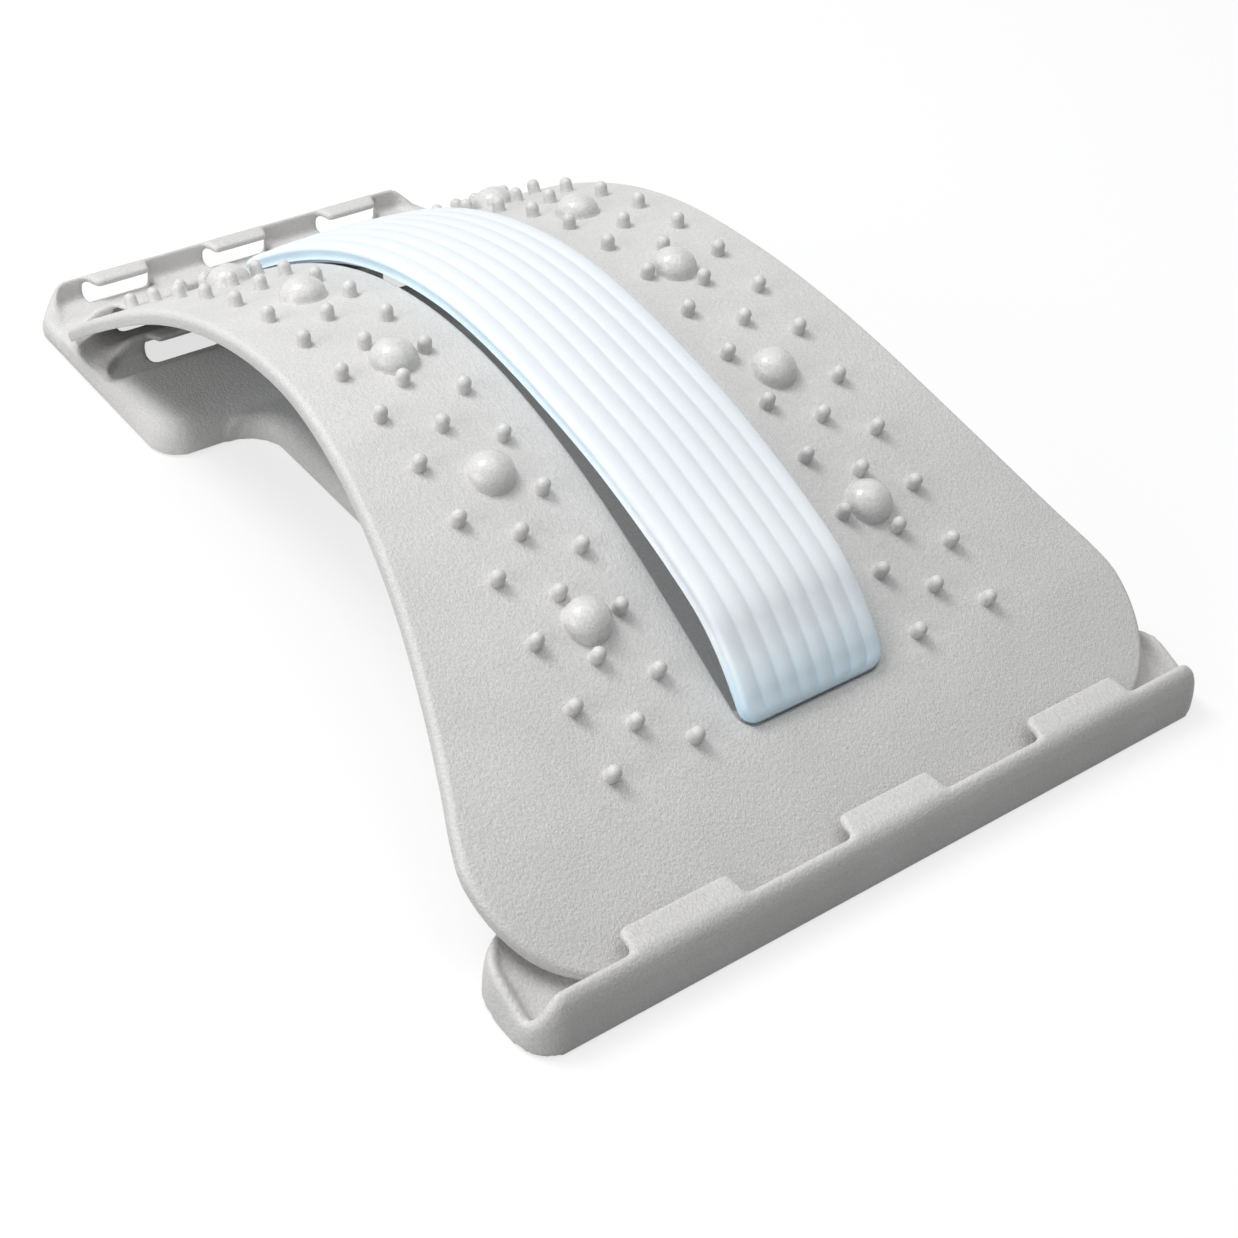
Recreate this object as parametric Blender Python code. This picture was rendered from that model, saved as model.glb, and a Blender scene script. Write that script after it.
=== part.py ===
"""Back stretcher: an arched plate with massage points, hooked into a flat two-tray base.

Units are metres. +Z is up, +Y runs from the wide near tray to the stepped far tray.
The origin is on the ground, in the middle of the footprint.
"""

import math

import bmesh
import bpy
from mathutils import Matrix, Vector

# The gap that touching pieces keep.
GAP = 0.0003

# The footprint of the base.
HALF_LENGTH = 0.186

# Each piece of the base starts at its own depth below the ground, and one cut levels them all.
BURIED = 0.001
BURIED_STEP = 0.0001
GROUND_REACH = 0.3
GROUND_DEPTH = 0.010

# The near tray: a shallow dish with a high front wall.
NEAR_HALF_WIDTH = 0.125
NEAR_DEPTH = 0.036
NEAR_BACK_Y = -HALF_LENGTH + NEAR_DEPTH
NEAR_FRONT_RADIUS = 0.010
NEAR_BACK_RADIUS = 0.016
NEAR_FRONT_HEIGHT = 0.018
NEAR_DIP_HEIGHT = 0.0086
NEAR_BACK_HEIGHT = 0.0134
NEAR_FRONT_LEAN = 0.0050
NEAR_SIDE_LEAN = 0.0014
NEAR_WALL_INSIDE = 0.0067
NEAR_SIDE_INSIDE = 0.0034
NEAR_FLOOR = 0.0032
NEAR_FLOOR_SLOPE = 0.40
NEAR_FRONT_FADE = (-0.0005, 0.0082)
NEAR_SIDE_RISE = (0.0120, 0.0222)
NEAR_BOWL_REACH = 0.0090
NEAR_BOWL_PLACE = (0.0055, 0.0150)
NEAR_RAIL_HALF_LENGTH = 0.090
NEAR_RAIL_DEPTH = 0.011

# The far tray: a plateau, then rows of catches on wedges.
FAR_HALF_WIDTH = 0.0823
FAR_DEPTH = 0.1006
FAR_INNER_Y = HALF_LENGTH - FAR_DEPTH
FAR_INNER_RADIUS = 0.0115
FAR_OUTER_RADIUS = 0.014
FAR_WALL_HEIGHT = 0.0128
FAR_SIDE_HEIGHT = 0.0064
FAR_SIDE_WIDTH = 0.0075
FAR_WALL_LEAN = 0.0002
FAR_WALL_INSIDE = 0.0017
FAR_CORNER_DROP = (0.0133, 0.0023)
FAR_SIDE_DROP = (0.014, 0.004)
PLATEAU_HEIGHT = 0.012
PLATEAU_LENGTH = 0.0366
PLATEAU_END_Y = FAR_INNER_Y + PLATEAU_LENGTH
PLATEAU_ROUND = 0.0085
PLATEAU_RUN = 0.008
PLATEAU_SET_IN = 0.0004
CATCH_ROW_PITCH = 0.0238
CATCH_ROW_RISE = 0.0010
CATCH_ROWS = 3
FIRST_FLOOR = 0.0053
LAST_FLOOR = 0.0070
WEDGE_RUN = 0.0135
WEDGE_CREST = 0.0020
WEDGE_END_DROP = 0.0062
WEDGE_END_LENGTH = 0.0150
WEDGE_HOOK_RADIUS = 0.0085
WALL = 0.0022
WALL_FOOT = 0.0012

# The web between the trays.
WEB_HALF_WIDTH = 0.0450
WEB_HEIGHT = 0.009
WEB_ROUND = 0.007
WEB_FLARE = 0.014
WEB_BAYS = 4

# The hooks that hold the ends of the arched plate.
NEAR_HOOK_CENTRES = (-0.0736, 0.0, 0.0736)
NEAR_HOOK_HALF_WIDTHS = (0.0191, 0.0178, 0.0191)
NEAR_HOOK_REACH = 0.0070
NEAR_HOOK_UNDER = 0.0160
NEAR_HOOK_ROOT_TOP = 0.0182
NEAR_HOOK_TIP_TOP = 0.0196
FAR_HOOK_CENTRES = (-0.0485, 0.0, 0.0485)
FAR_HOOK_HALF_WIDTH = 0.0122
FAR_HOOK_REACH = 0.0043
FAR_HOOK_THICKS = (0.0028, 0.0019, 0.0024)
HOOK_TIP_TAPER = 0.0012
HOOK_CORNER = 0.0016
HOOK_EDGE = 0.0005
HOOK_ROOT = 0.0012
NEAR_HOOK_ROOT = 0.0019
HOLE_HALF_WIDTH = 0.0127
HOLE_DEPTH = 0.0050

# The arch, laid out at the middle height of the massage points.
ROW_PITCH = 0.02071
ROWS = 15
ARCH_Y = -0.0043
ARCH_SEAT_HEIGHT = 0.00585
ARCH_SWING = math.radians(31.17)
ARCH_LEAN = math.radians(0.15)
ARCH_SKEW = math.radians(2.76)
ARCH_END_CURL = 2.5
ARCH_STEP = 0.0005
ARCH_REACH = HALF_LENGTH * 1.1

# The plate.
PLATE_THICK = 0.0030
PLATE_EDGE_ROUND = 0.0008
PLATE_EDGE = (
    (-0.154, 0.1200),
    (-0.144, 0.1179),
    (-0.130, 0.1130),
    (-0.110, 0.1066),
    (-0.080, 0.0984),
    (-0.050, 0.0922),
    (-0.020, 0.0875),
    (0.010, 0.0846),
    (0.060, 0.0844),
)
PLATE_NEAR_CORNER = 0.031
PLATE_FAR_CORNER = 0.017
SLOT_HALF_WIDTH = 0.0259
SLOT_REACH = 0.1494
SLOT_CORNER = 0.0055
LEDGE_REACH = 0.0060
LEDGE_DEPTH = 0.0018

# The small points and the large domes on the plate.
NUB_HEIGHT = 0.0051
ARCH_RISE = 0.0027
NUB_PROFILE = ((0.00245, -0.0006), (0.0019, 0.0041), (0.0011, NUB_HEIGHT))
NUB_SIDES = 8
INNER_COLUMN = 0.0412
OUTER_COLUMN = 0.0694
MIDDLE_COLUMN = 0.0553
DOME_COLUMN = 0.0518
DOME_ROWS = (2.0, 4.5, 7.0, 9.5, 12.0)
DOME_HEIGHT = 0.0065
DOME_PROFILE = (
    (0.0077, -0.0004),
    (0.0067, 0.0014),
    (0.0059, 0.0040),
    (0.0038, 0.0059),
    (0.0014, DOME_HEIGHT),
)
DOME_SIDES = 16

# The magnets and their plugs, pushed into the domes from below.
MAGNET_RADIUS = 0.0045
MAGNET_HEIGHT = 0.0040
POCKET_ROOF = 0.0040
PLUG_CHAMFER = 0.0004
ROUND_SIDES = 14

# The spine strip: a ribbed soft pad on a stiff backing.
PAD_HALF_WIDTH = 0.0255
PAD_THICK = 0.0046
PAD_CROWN = 0.0012
PAD_RIBS = 8
PAD_RIB_HEIGHT = 0.0010
PAD_SIDE_DRAW = 0.0006
PAD_END_ROUND = 0.0050
PAD_END_SLOPE = 0.0090
PAD_END_THICK = 0.0014
PAD_STATIONS = 27
BACKING_HALF_WIDTH = 0.0232
BACKING_THICK = 0.0012
STRIP_SEAT = LEDGE_DEPTH - GAP
STRIP_LIFT = (
    (-0.1490, -STRIP_SEAT),
    (-0.1450, -0.0013),
    (-0.1400, 0.0006),
    (-0.1340, 0.0028),
    (-0.1260, 0.0051),
    (-0.1160, 0.0065),
    (-0.1020, 0.0061),
    (-0.0840, 0.0048),
    (-0.0660, 0.0034),
    (-0.0500, 0.0019),
    (-0.0350, 0.0007),
    (-0.0150, 0.0001),
    (0.0100, 0.0000),
    (0.0500, -0.0005),
    (0.1000, -0.0008),
    (0.1330, -0.0011),
    (0.1446, -STRIP_SEAT),
    (0.1490, -STRIP_SEAT),
)


def clear_scene():
    """Start from an empty file."""
    for item in list(bpy.data.objects):
        bpy.data.objects.remove(item, do_unlink=True)


def smoothstep(value, low, high):
    """Rise from 0 at low to 1 at high."""
    part = min(max((value - low) / (high - low), 0.0), 1.0)
    return part * part * (3.0 - 2.0 * part)


def through_points(points, at):
    """Read a smooth curve through (position, value) pairs."""
    if at <= points[0][0]:
        return points[0][1]
    if at >= points[-1][0]:
        return points[-1][1]
    last = len(points) - 1
    slopes = []
    for index in range(last + 1):
        low = points[max(index - 1, 0)]
        high = points[min(index + 1, last)]
        slopes.append((high[1] - low[1]) / (high[0] - low[0]))
    slopes[0] = 0.0
    slopes[last] = 0.0
    index = 0
    while points[index + 1][0] < at:
        index += 1
    (x0, y0), (x1, y1) = points[index], points[index + 1]
    run = x1 - x0
    t = (at - x0) / run
    return (
        (2 * t ** 3 - 3 * t ** 2 + 1) * y0
        + (t ** 3 - 2 * t ** 2 + t) * run * slopes[index]
        + (3 * t ** 2 - 2 * t ** 3) * y1
        + (t ** 3 - t ** 2) * run * slopes[index + 1]
    )


def arch_slope(along):
    """Downward slope of the arch towards +Y, curling on gently past the last rows."""
    half_span = ROW_PITCH * (ROWS - 1) / 2
    u = min(max(along / half_span, -1.0), 1.0)
    past = max(abs(along) - half_span, 0.0)
    return (
        ARCH_LEAN
        + ARCH_SWING * math.sin(math.pi * u / 2)
        - ARCH_SKEW * math.cos(math.pi * u)
        + math.copysign(ARCH_END_CURL * past, along)
    )


def trace_arch(height):
    """Walk the arch both ways from its middle row and note (y, z) at every step."""
    count = int(round(ARCH_REACH / ARCH_STEP))
    trace = {0: (ARCH_Y, height)}
    for way in (1, -1):
        y, z = trace[0]
        for index in range(count):
            slope = arch_slope(way * (index + 0.5) * ARCH_STEP)
            y += way * ARCH_STEP * math.cos(slope)
            z -= way * ARCH_STEP * math.sin(slope)
            trace[way * (index + 1)] = (y, z)
    return trace


ARCH = trace_arch(0.0)


def on_arch(x, along, rise):
    """A point over the plate: across it, along the arch, and above its top face."""
    place = along / ARCH_STEP
    step = math.floor(place)
    part = place - step
    (y0, z0), (y1, z1) = ARCH[step], ARCH[step + 1]
    slope = arch_slope(along)
    off = rise - ARCH_RISE
    return Vector((
        x,
        y0 + (y1 - y0) * part + off * math.sin(slope),
        z0 + (z1 - z0) * part + off * math.cos(slope),
    ))


def along_where(y, rise, low, high):
    """The place along the arch where a line at this rise reaches y."""
    for _ in range(50):
        middle = (low + high) / 2
        if on_arch(0.0, middle, rise).y < y:
            low = middle
        else:
            high = middle
    return (low + high) / 2


# The plate reaches from the near tray's front wall to the catch in the middle row.
NEAR_WALL_Y = -HALF_LENGTH + NEAR_WALL_INSIDE
FAR_WALL_Y = HALF_LENGTH - FAR_WALL_INSIDE
CATCH_YS = tuple(FAR_WALL_Y - CATCH_ROW_PITCH * row for row in range(CATCH_ROWS))
PLATE_NEAR = along_where(NEAR_WALL_Y + GAP, 0.0, -ARCH_REACH + ARCH_STEP, 0.0)
PLATE_FAR = along_where(CATCH_YS[1] - GAP, 0.0, 0.0, ARCH_REACH - ARCH_STEP)
ARCH = trace_arch(ARCH_SEAT_HEIGHT - on_arch(0.0, PLATE_NEAR, -PLATE_THICK).z)
MIDDLE_FLOOR = on_arch(0.0, PLATE_FAR, -PLATE_THICK).z - GAP
FLOORS = (FIRST_FLOOR, MIDDLE_FLOOR, LAST_FLOOR)
CREST_HEIGHTS = tuple(FAR_WALL_HEIGHT + CATCH_ROW_RISE * row for row in range(CATCH_ROWS))
FAR_HOOK_TOPS = tuple(height + HOOK_EDGE / 2 for height in CREST_HEIGHTS)
FAR_HOOK_UNDERS = tuple(top - thick for top, thick in zip(FAR_HOOK_TOPS, FAR_HOOK_THICKS))

# The plate is folded a quarter row before and after each row, so each point sits on a flat.
FOLDS = tuple(ROW_PITCH * (index / 2 + 0.25) for index in range(-20, 19))


def on_plate(x, along, rise):
    """A point over the folded plate, on the flat between two folds."""
    low = max([fold for fold in FOLDS if fold <= along], default=None)
    high = min([fold for fold in FOLDS if fold > along], default=None)
    if low is None or high is None or low < PLATE_NEAR or high > PLATE_FAR:
        return on_arch(x, along, rise)
    part = (along - low) / (high - low)
    return on_arch(x, low, rise).lerp(on_arch(x, high, rise), part)


def plate_frame(x, along):
    """The frame of a feature that stands square on the plate."""
    step = ROW_PITCH / 8
    run = on_plate(x, along + step, 0.0) - on_plate(x, along - step, 0.0)
    tilt = math.atan2(run.z, run.y)
    return Matrix.Translation(on_plate(x, along, 0.0)) @ Matrix.Rotation(tilt, 4, "X")


def rounded_outline(corners, inset, segments=5, longest=None):
    """An outline with rounded corners, drawn in by inset; corners are (x, y, radius)."""
    points = []
    count = len(corners)
    for index, (x, y, radius) in enumerate(corners):
        here = Vector((x, y))
        before = Vector(corners[index - 1][:2])
        after = Vector(corners[(index + 1) % count][:2])
        come = (here - before).normalized()
        leave = (after - here).normalized()
        turn = come.x * leave.y - come.y * leave.x
        side = 1.0 if turn > 0 else -1.0
        in_normal = Vector((-come.y, come.x))
        out_normal = Vector((-leave.y, leave.x))
        half = math.acos(max(-1.0, min(1.0, come.dot(leave)))) / 2
        centre = here + (in_normal + out_normal).normalized() * side * radius / math.cos(half)
        reach = radius - inset * side
        for step in range(segments + 1):
            mix = step / segments
            turned = in_normal.lerp(out_normal, mix).normalized()
            points.append(centre - turned * side * reach)
    if longest is None:
        return points
    dense = []
    base = rounded_outline(corners, 0.0, segments)
    for index, point in enumerate(points):
        follow = (index + 1) % len(points)
        dense.append(point)
        length = (base[follow] - base[index]).length
        extra = int(length / longest)
        for step in range(1, extra + 1):
            dense.append(point.lerp(points[follow], step / (extra + 1)))
    return dense


def lifted(points, height):
    """Put a flat outline at a height."""
    return [Vector((point.x, point.y, height)) for point in points]


def loft(levels, closed=False):
    """Skin a stack of loops; the ends are capped unless the stack closes on itself."""
    mesh = bmesh.new()
    rings = [[mesh.verts.new(point) for point in level] for level in levels]
    pairs = list(zip(rings, rings[1:]))
    if closed:
        pairs.append((rings[-1], rings[0]))
    for low, high in pairs:
        size = len(low)
        for index in range(size):
            follow = (index + 1) % size
            mesh.faces.new((low[index], low[follow], high[follow], high[index]))
    if not closed:
        mesh.faces.new(list(reversed(rings[0])))
        mesh.faces.new(rings[-1])
    bmesh.ops.recalc_face_normals(mesh, faces=mesh.faces)
    return mesh


def box(x_range, y_range, z_range):
    """A plain block."""
    corners = ((x_range[0], y_range[0]), (x_range[1], y_range[0]),
               (x_range[1], y_range[1]), (x_range[0], y_range[1]))
    return loft([[Vector((x, y, z)) for x, y in corners] for z in z_range])


def bar(profile, x_range):
    """A (y, z) profile run along X."""
    return loft([[Vector((x, y, z)) for y, z in profile] for x in x_range])


def turned(profile, sides):
    """A (radius, height) profile turned round the upright axis, with flat ends."""
    levels = []
    for radius, height in profile:
        levels.append([
            Vector((radius * math.cos(math.tau * step / sides),
                    radius * math.sin(math.tau * step / sides), height))
            for step in range(sides)
        ])
    return loft(levels)


def joined(meshes):
    """Gather separate bodies into one mesh."""
    whole = bmesh.new()
    for mesh in meshes:
        copy = bpy.data.meshes.new("copy")
        mesh.to_mesh(copy)
        mesh.free()
        whole.from_mesh(copy)
        bpy.data.meshes.remove(copy)
    return whole


def to_object(name, mesh):
    """Give a mesh its object."""
    data = bpy.data.meshes.new(name)
    mesh.to_mesh(data)
    mesh.free()
    item = bpy.data.objects.new(name, data)
    bpy.context.scene.collection.objects.link(item)
    return item


def combine(body, added=(), removed=()):
    """Unite solids with a body, then take others away from it."""
    target = to_object("body", body)
    tools = []
    for operation, meshes in (("UNION", added), ("DIFFERENCE", removed)):
        for mesh in meshes:
            tool = to_object("tool", mesh)
            step = target.modifiers.new("step", "BOOLEAN")
            step.operation = operation
            step.solver = "EXACT"
            step.object = tool
            tools.append(tool)
    graph = bpy.context.evaluated_depsgraph_get()
    done = bmesh.new()
    done.from_object(target, graph)
    for item in tools + [target]:
        data = item.data
        bpy.data.objects.remove(item, do_unlink=True)
        bpy.data.meshes.remove(data)
    bmesh.ops.remove_doubles(done, verts=done.verts, dist=2e-6)
    bmesh.ops.dissolve_degenerate(done, dist=2e-6, edges=done.edges)
    return done


def plastic(name, colour, roughness, metallic=0.0):
    """A plain material for one kind of piece."""
    material = bpy.data.materials.new(name)
    material.use_nodes = True
    shader = material.node_tree.nodes["Principled BSDF"]
    shader.inputs["Base Color"].default_value = (*colour, 1.0)
    shader.inputs["Roughness"].default_value = roughness
    shader.inputs["Metallic"].default_value = metallic
    material.diffuse_color = (*colour, 1.0)
    return material


def finish(name, mesh, material, origin=(0.0, 0.0, 0.0), sharp=35.0):
    """Make the named piece: origin, smooth shading, sharp edges and material."""
    bmesh.ops.recalc_face_normals(mesh, faces=mesh.faces)
    bmesh.ops.translate(mesh, verts=mesh.verts, vec=-Vector(origin))
    item = to_object(name, mesh)
    item.location = origin
    for face in item.data.polygons:
        face.use_smooth = True
    item.data.set_sharp_from_angle(angle=math.radians(sharp))
    item.data.materials.append(material)
    return item


def wall_ring(corners, section_at):
    """A closed wall along an outline; section_at gives its (inset, height) pairs at a place."""
    longest = 0.012
    unit = 0.001
    foot = rounded_outline(corners, 0.0, 6, longest)
    inner = rounded_outline(corners, unit, 6, longest)
    columns = []
    for point, follow in zip(foot, inner):
        way = (follow - point) / unit
        columns.append([
            Vector((point.x + way.x * inset, point.y + way.y * inset, height))
            for inset, height in section_at(point.x, point.y)
        ])
    wall = loft([list(level) for level in zip(*columns)], closed=True)
    bmesh.ops.triangulate(wall, faces=wall.faces)
    return wall


def near_tray_corners():
    """The near tray's foot."""
    return (
        (-NEAR_HALF_WIDTH, -HALF_LENGTH, NEAR_FRONT_RADIUS),
        (NEAR_HALF_WIDTH, -HALF_LENGTH, NEAR_FRONT_RADIUS),
        (NEAR_HALF_WIDTH, NEAR_BACK_Y, NEAR_BACK_RADIUS),
        (-NEAR_HALF_WIDTH, NEAR_BACK_Y, NEAR_BACK_RADIUS),
    )


def near_front_share(y):
    """1 along the near tray's front wall, 0 along its sides and back."""
    return 1.0 - smoothstep(y + HALF_LENGTH, *NEAR_FRONT_FADE)


def near_wall_height(y):
    """High along the front, dipping past the corners, then rising along the sides."""
    side = smoothstep(y + HALF_LENGTH, *NEAR_SIDE_RISE)
    low = NEAR_DIP_HEIGHT + (NEAR_BACK_HEIGHT - NEAR_DIP_HEIGHT) * side
    return low + (NEAR_FRONT_HEIGHT - low) * near_front_share(y)


def far_tray_corners():
    """The far tray's foot."""
    return (
        (-FAR_HALF_WIDTH, FAR_INNER_Y, FAR_INNER_RADIUS),
        (FAR_HALF_WIDTH, FAR_INNER_Y, FAR_INNER_RADIUS),
        (FAR_HALF_WIDTH, HALF_LENGTH, FAR_OUTER_RADIUS),
        (-FAR_HALF_WIDTH, HALF_LENGTH, FAR_OUTER_RADIUS),
    )


def far_end_share(x, y):
    """1 along the far wall, 0 along the sides and the inner end."""
    corner = 1.0 - smoothstep(abs(x), *(FAR_HALF_WIDTH - drop for drop in FAR_CORNER_DROP))
    return corner * smoothstep(y, *(HALF_LENGTH - drop for drop in FAR_SIDE_DROP))


def near_tray():
    """The near tray: wall, sloped floor and the rail that the plate's end lies on."""
    def section_at(_, y):
        front = near_front_share(y)
        height = near_wall_height(y)
        lean = NEAR_SIDE_LEAN + (NEAR_FRONT_LEAN - NEAR_SIDE_LEAN) * front
        inside = NEAR_SIDE_INSIDE + (NEAR_WALL_INSIDE - NEAR_SIDE_INSIDE) * front
        reach = NEAR_BOWL_REACH * smoothstep(y + HALF_LENGTH, *NEAR_BOWL_PLACE)
        rise = height - NEAR_FLOOR
        return (
            (0.0, 0.0), (lean * 0.08, height * 0.38), (lean * 0.26, height * 0.68),
            (lean * 0.52, height * 0.87), (lean * 0.78, height * 0.96), (lean, height),
            (inside - 0.0007, height), (inside, height * 0.96),
            (inside + reach * 0.3, NEAR_FLOOR + rise * 0.55),
            (inside + reach * 0.65, NEAR_FLOOR + rise * 0.2), (inside + reach, NEAR_FLOOR - 0.0004),
            (inside + reach, 0.0),
        )

    def floor_height(point):
        return NEAR_FLOOR + (point.y - NEAR_WALL_Y) * NEAR_FLOOR_SLOPE

    wall = wall_ring(near_tray_corners(), section_at)
    outline = rounded_outline(near_tray_corners(), NEAR_WALL_INSIDE / 2, 6)
    top = [Vector((point.x, point.y, floor_height(point))) for point in outline]
    floor = loft([lifted(outline, 0.0), top])
    start = on_arch(0.0, PLATE_NEAR, -PLATE_THICK)
    slope = -math.tan(arch_slope(PLATE_NEAR))
    drop = GAP / math.cos(arch_slope(PLATE_NEAR))
    back_y = NEAR_WALL_Y - 0.001
    crest_y = NEAR_WALL_Y + NEAR_RAIL_DEPTH

    def seat(y):
        return start.z + (y - start.y) * slope - drop

    rail = bar(
        ((back_y, 0.001), (crest_y + 0.0030, 0.001), (crest_y + 0.0020, seat(crest_y) - 0.0006),
         (crest_y, seat(crest_y)), (back_y, seat(back_y))),
        (-NEAR_RAIL_HALF_LENGTH, NEAR_RAIL_HALF_LENGTH),
    )
    return [wall, floor, rail]


def far_floor_profile(drop, end_y, start_y):
    """The far tray's floors as a (y, z) line from the far wall to the plateau."""
    line = [(end_y, FLOORS[0] - drop)]
    for row in (1, 2):
        line.append((CATCH_YS[row] + 0.001, FLOORS[row - 1] - drop))
        line.append((CATCH_YS[row] + 0.001, FLOORS[row] - drop))
    line.append((start_y, FLOORS[2] - drop))
    return line


def far_tray():
    """The far tray: wall, floors, plateau and the two wedges."""
    lean = FAR_WALL_LEAN
    inside = FAR_WALL_INSIDE
    high = FAR_WALL_HEIGHT
    side = FAR_SIDE_HEIGHT
    wide = FAR_SIDE_WIDTH
    wall = ((0.0, 0.0), (lean, high * 0.5), (lean, high * 0.96), (lean + 0.0004, high),
            (inside - 0.0004, high), (inside, high * 0.96), (inside, high * 0.5), (inside, 0.0))
    band = ((0.0, 0.0), (lean, side * 0.4), (wide * 0.12, side * 0.75), (wide * 0.3, side * 0.95),
            (wide * 0.55, side), (wide * 0.8, side * 0.96), (wide, side * 0.86), (wide, 0.0))

    def section_at(x, y):
        share = far_end_share(x, y)
        return [
            (a + (c - a) * share, b + (d - b) * share)
            for (a, b), (c, d) in zip(band, wall)
        ]

    pieces = [wall_ring(far_tray_corners(), section_at)]
    plateau_foot = PLATEAU_END_Y + PLATEAU_RUN
    half_floor = FAR_HALF_WIDTH - inside / 2
    profile = far_floor_profile(0.0, HALF_LENGTH - inside / 2, plateau_foot - 0.004)
    profile = [(profile[0][0], 0.0)] + profile + [(plateau_foot - 0.004, 0.0)]
    floor = bar(profile, (-half_floor, half_floor))
    trim = rounded_outline(far_tray_corners(), inside / 2, 6)
    keep = loft([lifted(trim, -0.001), lifted(trim, 0.020)])
    pieces.append(intersected(floor, keep))
    pieces.append(plateau(plateau_foot))
    for row in (1, 2):
        pieces.append(wedge(row))
    return pieces


def intersected(first, second):
    """What two solids share."""
    target = to_object("first", first)
    tool = to_object("second", second)
    step = target.modifiers.new("step", "BOOLEAN")
    step.operation = "INTERSECT"
    step.solver = "EXACT"
    step.object = tool
    done = bmesh.new()
    done.from_object(target, bpy.context.evaluated_depsgraph_get())
    for item in (tool, target):
        data = item.data
        bpy.data.objects.remove(item, do_unlink=True)
        bpy.data.meshes.remove(data)
    return done


def plateau(foot_y):
    """The far tray's raised inner part, rounded over on three sides."""
    base_height = PLATEAU_HEIGHT - PLATEAU_ROUND
    levels = []
    steps = 5
    shapes = [(0.0, 0.0)]
    for step in range(steps + 1):
        angle = math.pi / 2 * step / steps
        shapes.append((PLATEAU_ROUND * (1 - math.cos(angle)),
                       base_height + PLATEAU_ROUND * math.sin(angle)))
    for inset, height in shapes:
        half = FAR_HALF_WIDTH - PLATEAU_SET_IN - inset
        end_y = foot_y - PLATEAU_RUN * smoothstep(height, LAST_FLOOR - 0.002, PLATEAU_HEIGHT)
        radius = max(FAR_INNER_RADIUS - inset, 0.003)
        corners = (
            (-half, FAR_INNER_Y + PLATEAU_SET_IN + inset, radius),
            (half, FAR_INNER_Y + PLATEAU_SET_IN + inset, radius),
            (half, end_y, 0.002),
            (-half, end_y, 0.002),
        )
        levels.append(lifted(rounded_outline(corners, 0.0, 5), height))
    return loft(levels)


def wedge(row):
    """The sloped step behind a row of catches; its ends drop and curl round the channel."""
    face_y = CATCH_YS[row]
    low = FLOORS[row - 1] - 0.001
    half = FAR_HALF_WIDTH - FAR_SIDE_WIDTH * 0.45
    bend = half - WEDGE_HOOK_RADIUS
    xs = [bend + WEDGE_HOOK_RADIUS * math.sin(math.pi / 2 * step / 5) for step in range(6)]
    start = half - WEDGE_END_LENGTH
    xs = [start - 0.001, (start + bend) / 2] + xs
    xs = [-x for x in reversed(xs)] + xs
    loops = []
    for x in xs:
        over = min(max((abs(x) - bend) / WEDGE_HOOK_RADIUS, 0.0), 1.0)
        curl = WEDGE_HOOK_RADIUS * (1 - math.sqrt(1 - over * over))
        crest = CREST_HEIGHTS[row] - WEDGE_END_DROP * smoothstep(abs(x), start, half)
        near = face_y - curl
        foot = face_y + WEDGE_RUN
        loops.append([
            Vector((x, y, z)) for y, z in (
                (near, low), (near, crest - 0.0004), (near + 0.0004, crest),
                (near + WEDGE_CREST, crest), (foot, low + 0.0004), (foot, low),
            )
        ])
    return loft(loops)


def web():
    """The low web that ties the trays together, flared where it meets them."""
    start_y = NEAR_BACK_Y - NEAR_SIDE_LEAN - 0.001
    end_y = FAR_INNER_Y + PLATEAU_ROUND * 0.6
    ys = [start_y]
    for step in range(6):
        ys.append(NEAR_BACK_Y + WEB_FLARE * (1 - math.cos(math.pi / 2 * step / 5)))
    for step in range(6):
        ys.append(FAR_INNER_Y - WEB_FLARE * (1 - math.cos(math.pi / 2 * (5 - step) / 5)))
    ys.append(end_y)
    loops = []
    for y in ys:
        near = min(max((y - NEAR_BACK_Y) / WEB_FLARE, 0.0), 1.0)
        far = min(max((FAR_INNER_Y - y) / WEB_FLARE, 0.0), 1.0)
        bow = 1 - math.sqrt(max(1 - (1 - min(near, far)) ** 2, 0.0))
        half = WEB_HALF_WIDTH + WEB_FLARE * bow
        side = [(half, 0.0)]
        for step in range(5):
            angle = math.pi / 2 * step / 4
            side.append((half - WEB_ROUND * (1 - math.cos(angle)),
                         WEB_HEIGHT - WEB_ROUND + WEB_ROUND * math.sin(angle)))
        outline = side + [(-x, z) for x, z in reversed(side)]
        loops.append([Vector((x, y, z)) for x, z in outline])
    return loft(loops)


def hook(corners, under, root_top, tip_top, root_y, tip_y):
    """A flat hook: its top runs from root to tip, with a softened edge."""
    def top(point, lower):
        share = (point.y - root_y) / (tip_y - root_y)
        return root_top + (tip_top - root_top) * min(max(share, 0.0), 1.0) - lower

    outline = rounded_outline(corners, 0.0, 3)
    small = rounded_outline(corners, HOOK_EDGE, 3)
    return loft([
        lifted(small, under),
        lifted(outline, under + HOOK_EDGE),
        [Vector((point.x, point.y, top(point, HOOK_EDGE))) for point in outline],
        [Vector((point.x, point.y, top(point, 0.0))) for point in small],
    ])


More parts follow.
